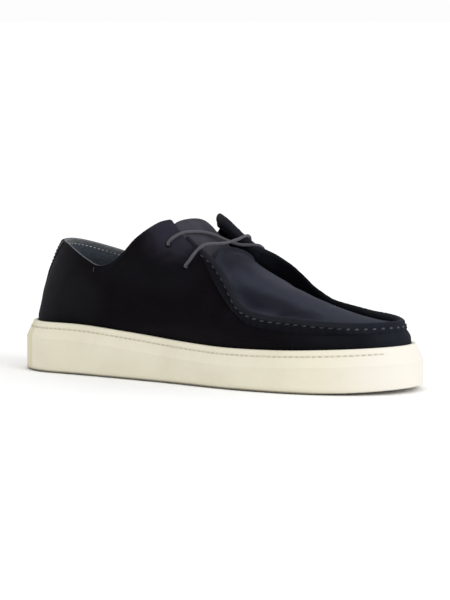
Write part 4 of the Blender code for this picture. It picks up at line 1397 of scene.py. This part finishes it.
def lace():
    """One cord: inside at the near upper eyelet, out, across, in, under, out, across and in."""
    near_top, far_top, near_low, far_low = eyelet_places()
    first, hidden, second = (np.array(table) * MM for table in (FIRST_STRAND, HIDDEN_BAR, SECOND_STRAND))
    path = through([
        *beside(near_top, (-7.0, -2.6, 1.64), (-6.0, -1.592, 1.16), (-4.4, -0.248, 0.52),
                (-1.0, 0.34, 0.24), (1.0, 0.34, 0.24)),
        *first,
        *beside(far_low, (2.2, 0, 0), (-1.5, 0, 0), (-4.4, 0, -0.8)),
        *hidden,
        *beside(near_low, (-5.2, 0.34, 0.24), (-1.2, 0.34, 0.24), (1.0, 0.34, 0.24)),
        *second,
        *beside(far_top, (2.2, 0, 0), (-1.5, 0, 0), (-5.0, 0, 0), (-6.4, 0, -3.0), (-6.0, 0, -6.0)),
    ], 0.5 * MM)
    run = run_length(path)
    end = np.minimum(run, run[-1] - run)
    knot = 0.9 * bell(end - 2.0 * MM, 1.6 * MM)
    wobble = 1 + 0.03 * np.sin(run * 900.0) + 0.03 * np.sin(run * 410.0 + 1.0)
    radius = LACE_RADIUS * (1 + knot) * rounding(end + 0.02 * MM, 1.2 * MM) * wobble
    piece = seal(skin("lace_cord_braided", tube_grid(path, radius, 18), LACE_CORD, round_v=True))
    stands_for(piece, "lace")


# ---------------------------------------------------------------------------
# Floor, light and camera.

FLOOR_SIZE = 400.0
FLOOR_DROP = 0.0001
AZIMUTH = math.radians(32.5)
ELEVATION = math.radians(5.37)
DISTANCE = 2.0
LENS = 179.1


def floor():
    mesh = bmesh.new()
    bmesh.ops.create_grid(mesh, x_segments=4, y_segments=4, size=FLOOR_SIZE / 2)
    data = bpy.data.meshes.new("floor")
    closed(mesh, data)
    r = Recipe("floor_paper", Specular_IOR_Level=0.0, Specular_Tint=(1, 1, 1, 1))
    data.materials.append(r.finish(r.blend(r.spread(r.noise(9.0, 4.0)), (0.93,) * 3, (0.95,) * 3), 0.95))
    thing = show("floor", data)
    thing.location.z = -FLOOR_DROP


def surround():
    """Even white surround."""
    sky = bpy.data.worlds.new("studio")
    bpy.context.scene.world = sky
    sky.use_nodes = True
    background = sky.node_tree.nodes["Background"]
    background.inputs["Color"].default_value = (1, 1, 1, 1)
    background.inputs["Strength"].default_value = 0.98


def sun(name, toward, strength, degrees):
    lamp = bpy.data.lights.new(name, "SUN")
    lamp.energy = strength
    lamp.angle = math.radians(degrees)
    thing = show(name, lamp)
    thing.rotation_mode = "QUATERNION"
    thing.rotation_quaternion = Vector(toward).to_track_quat("Z", "Y")


def camera():
    data = bpy.data.cameras.new("camera")
    data.sensor_fit = "AUTO"
    data.sensor_width = 36.0
    data.lens = LENS
    data.clip_start = 0.05
    data.clip_end = 1000.0
    right = Vector((math.cos(AZIMUTH), math.sin(AZIMUTH), 0.0))
    level_back = Vector((math.sin(AZIMUTH), -math.cos(AZIMUTH), 0.0))
    back = level_back * math.cos(ELEVATION) + Vector((0.0, 0.0, math.sin(ELEVATION)))
    up = back.cross(right)
    middle = Vector((0, 0, 0.045)) + right * 0.0036 + up * 0.0073
    thing = show("camera", data)
    thing.matrix_world = (
        Matrix.Translation(middle + back * DISTANCE) @ Matrix((right, up, back)).transposed().to_4x4()
    )
    bpy.context.scene.camera = thing


wrap()
collar_lining()
collar_stitches()
bar_tacks()
raised_seam()
# One thread along the raised seam, drawn in copies: darker on the sides (painted shade) and lighter at the
# toe (painted light).
seam_stitches("seam_stitches_lateral", -31, -15, SEAM_THREAD, 3.9, 0.46)
seam_stitches("seam_stitches_side", -15, -8, DARK_THREAD, 3.4, 0.44)
seam_stitches("seam_stitches_toe", -8, 8, TOE_THREAD_LIT, 2.6, 0.58)
seam_stitches("seam_stitches_far_side", 8, 15, DARK_THREAD, 3.4, 0.44)
seam_stitches("seam_stitches_medial", 15, 31, SEAM_THREAD, 3.9, 0.46)
plug()
heel_stay()
eyelets()
tongue()
sole_wall()
tread()
insole()
sole_stitches()
lace()
floor()
surround()
sun("toe_side", (0.90, -0.12, 0.42), 1.3, 50.0)
camera()
bpy.context.scene.view_settings.view_transform = "Standard"
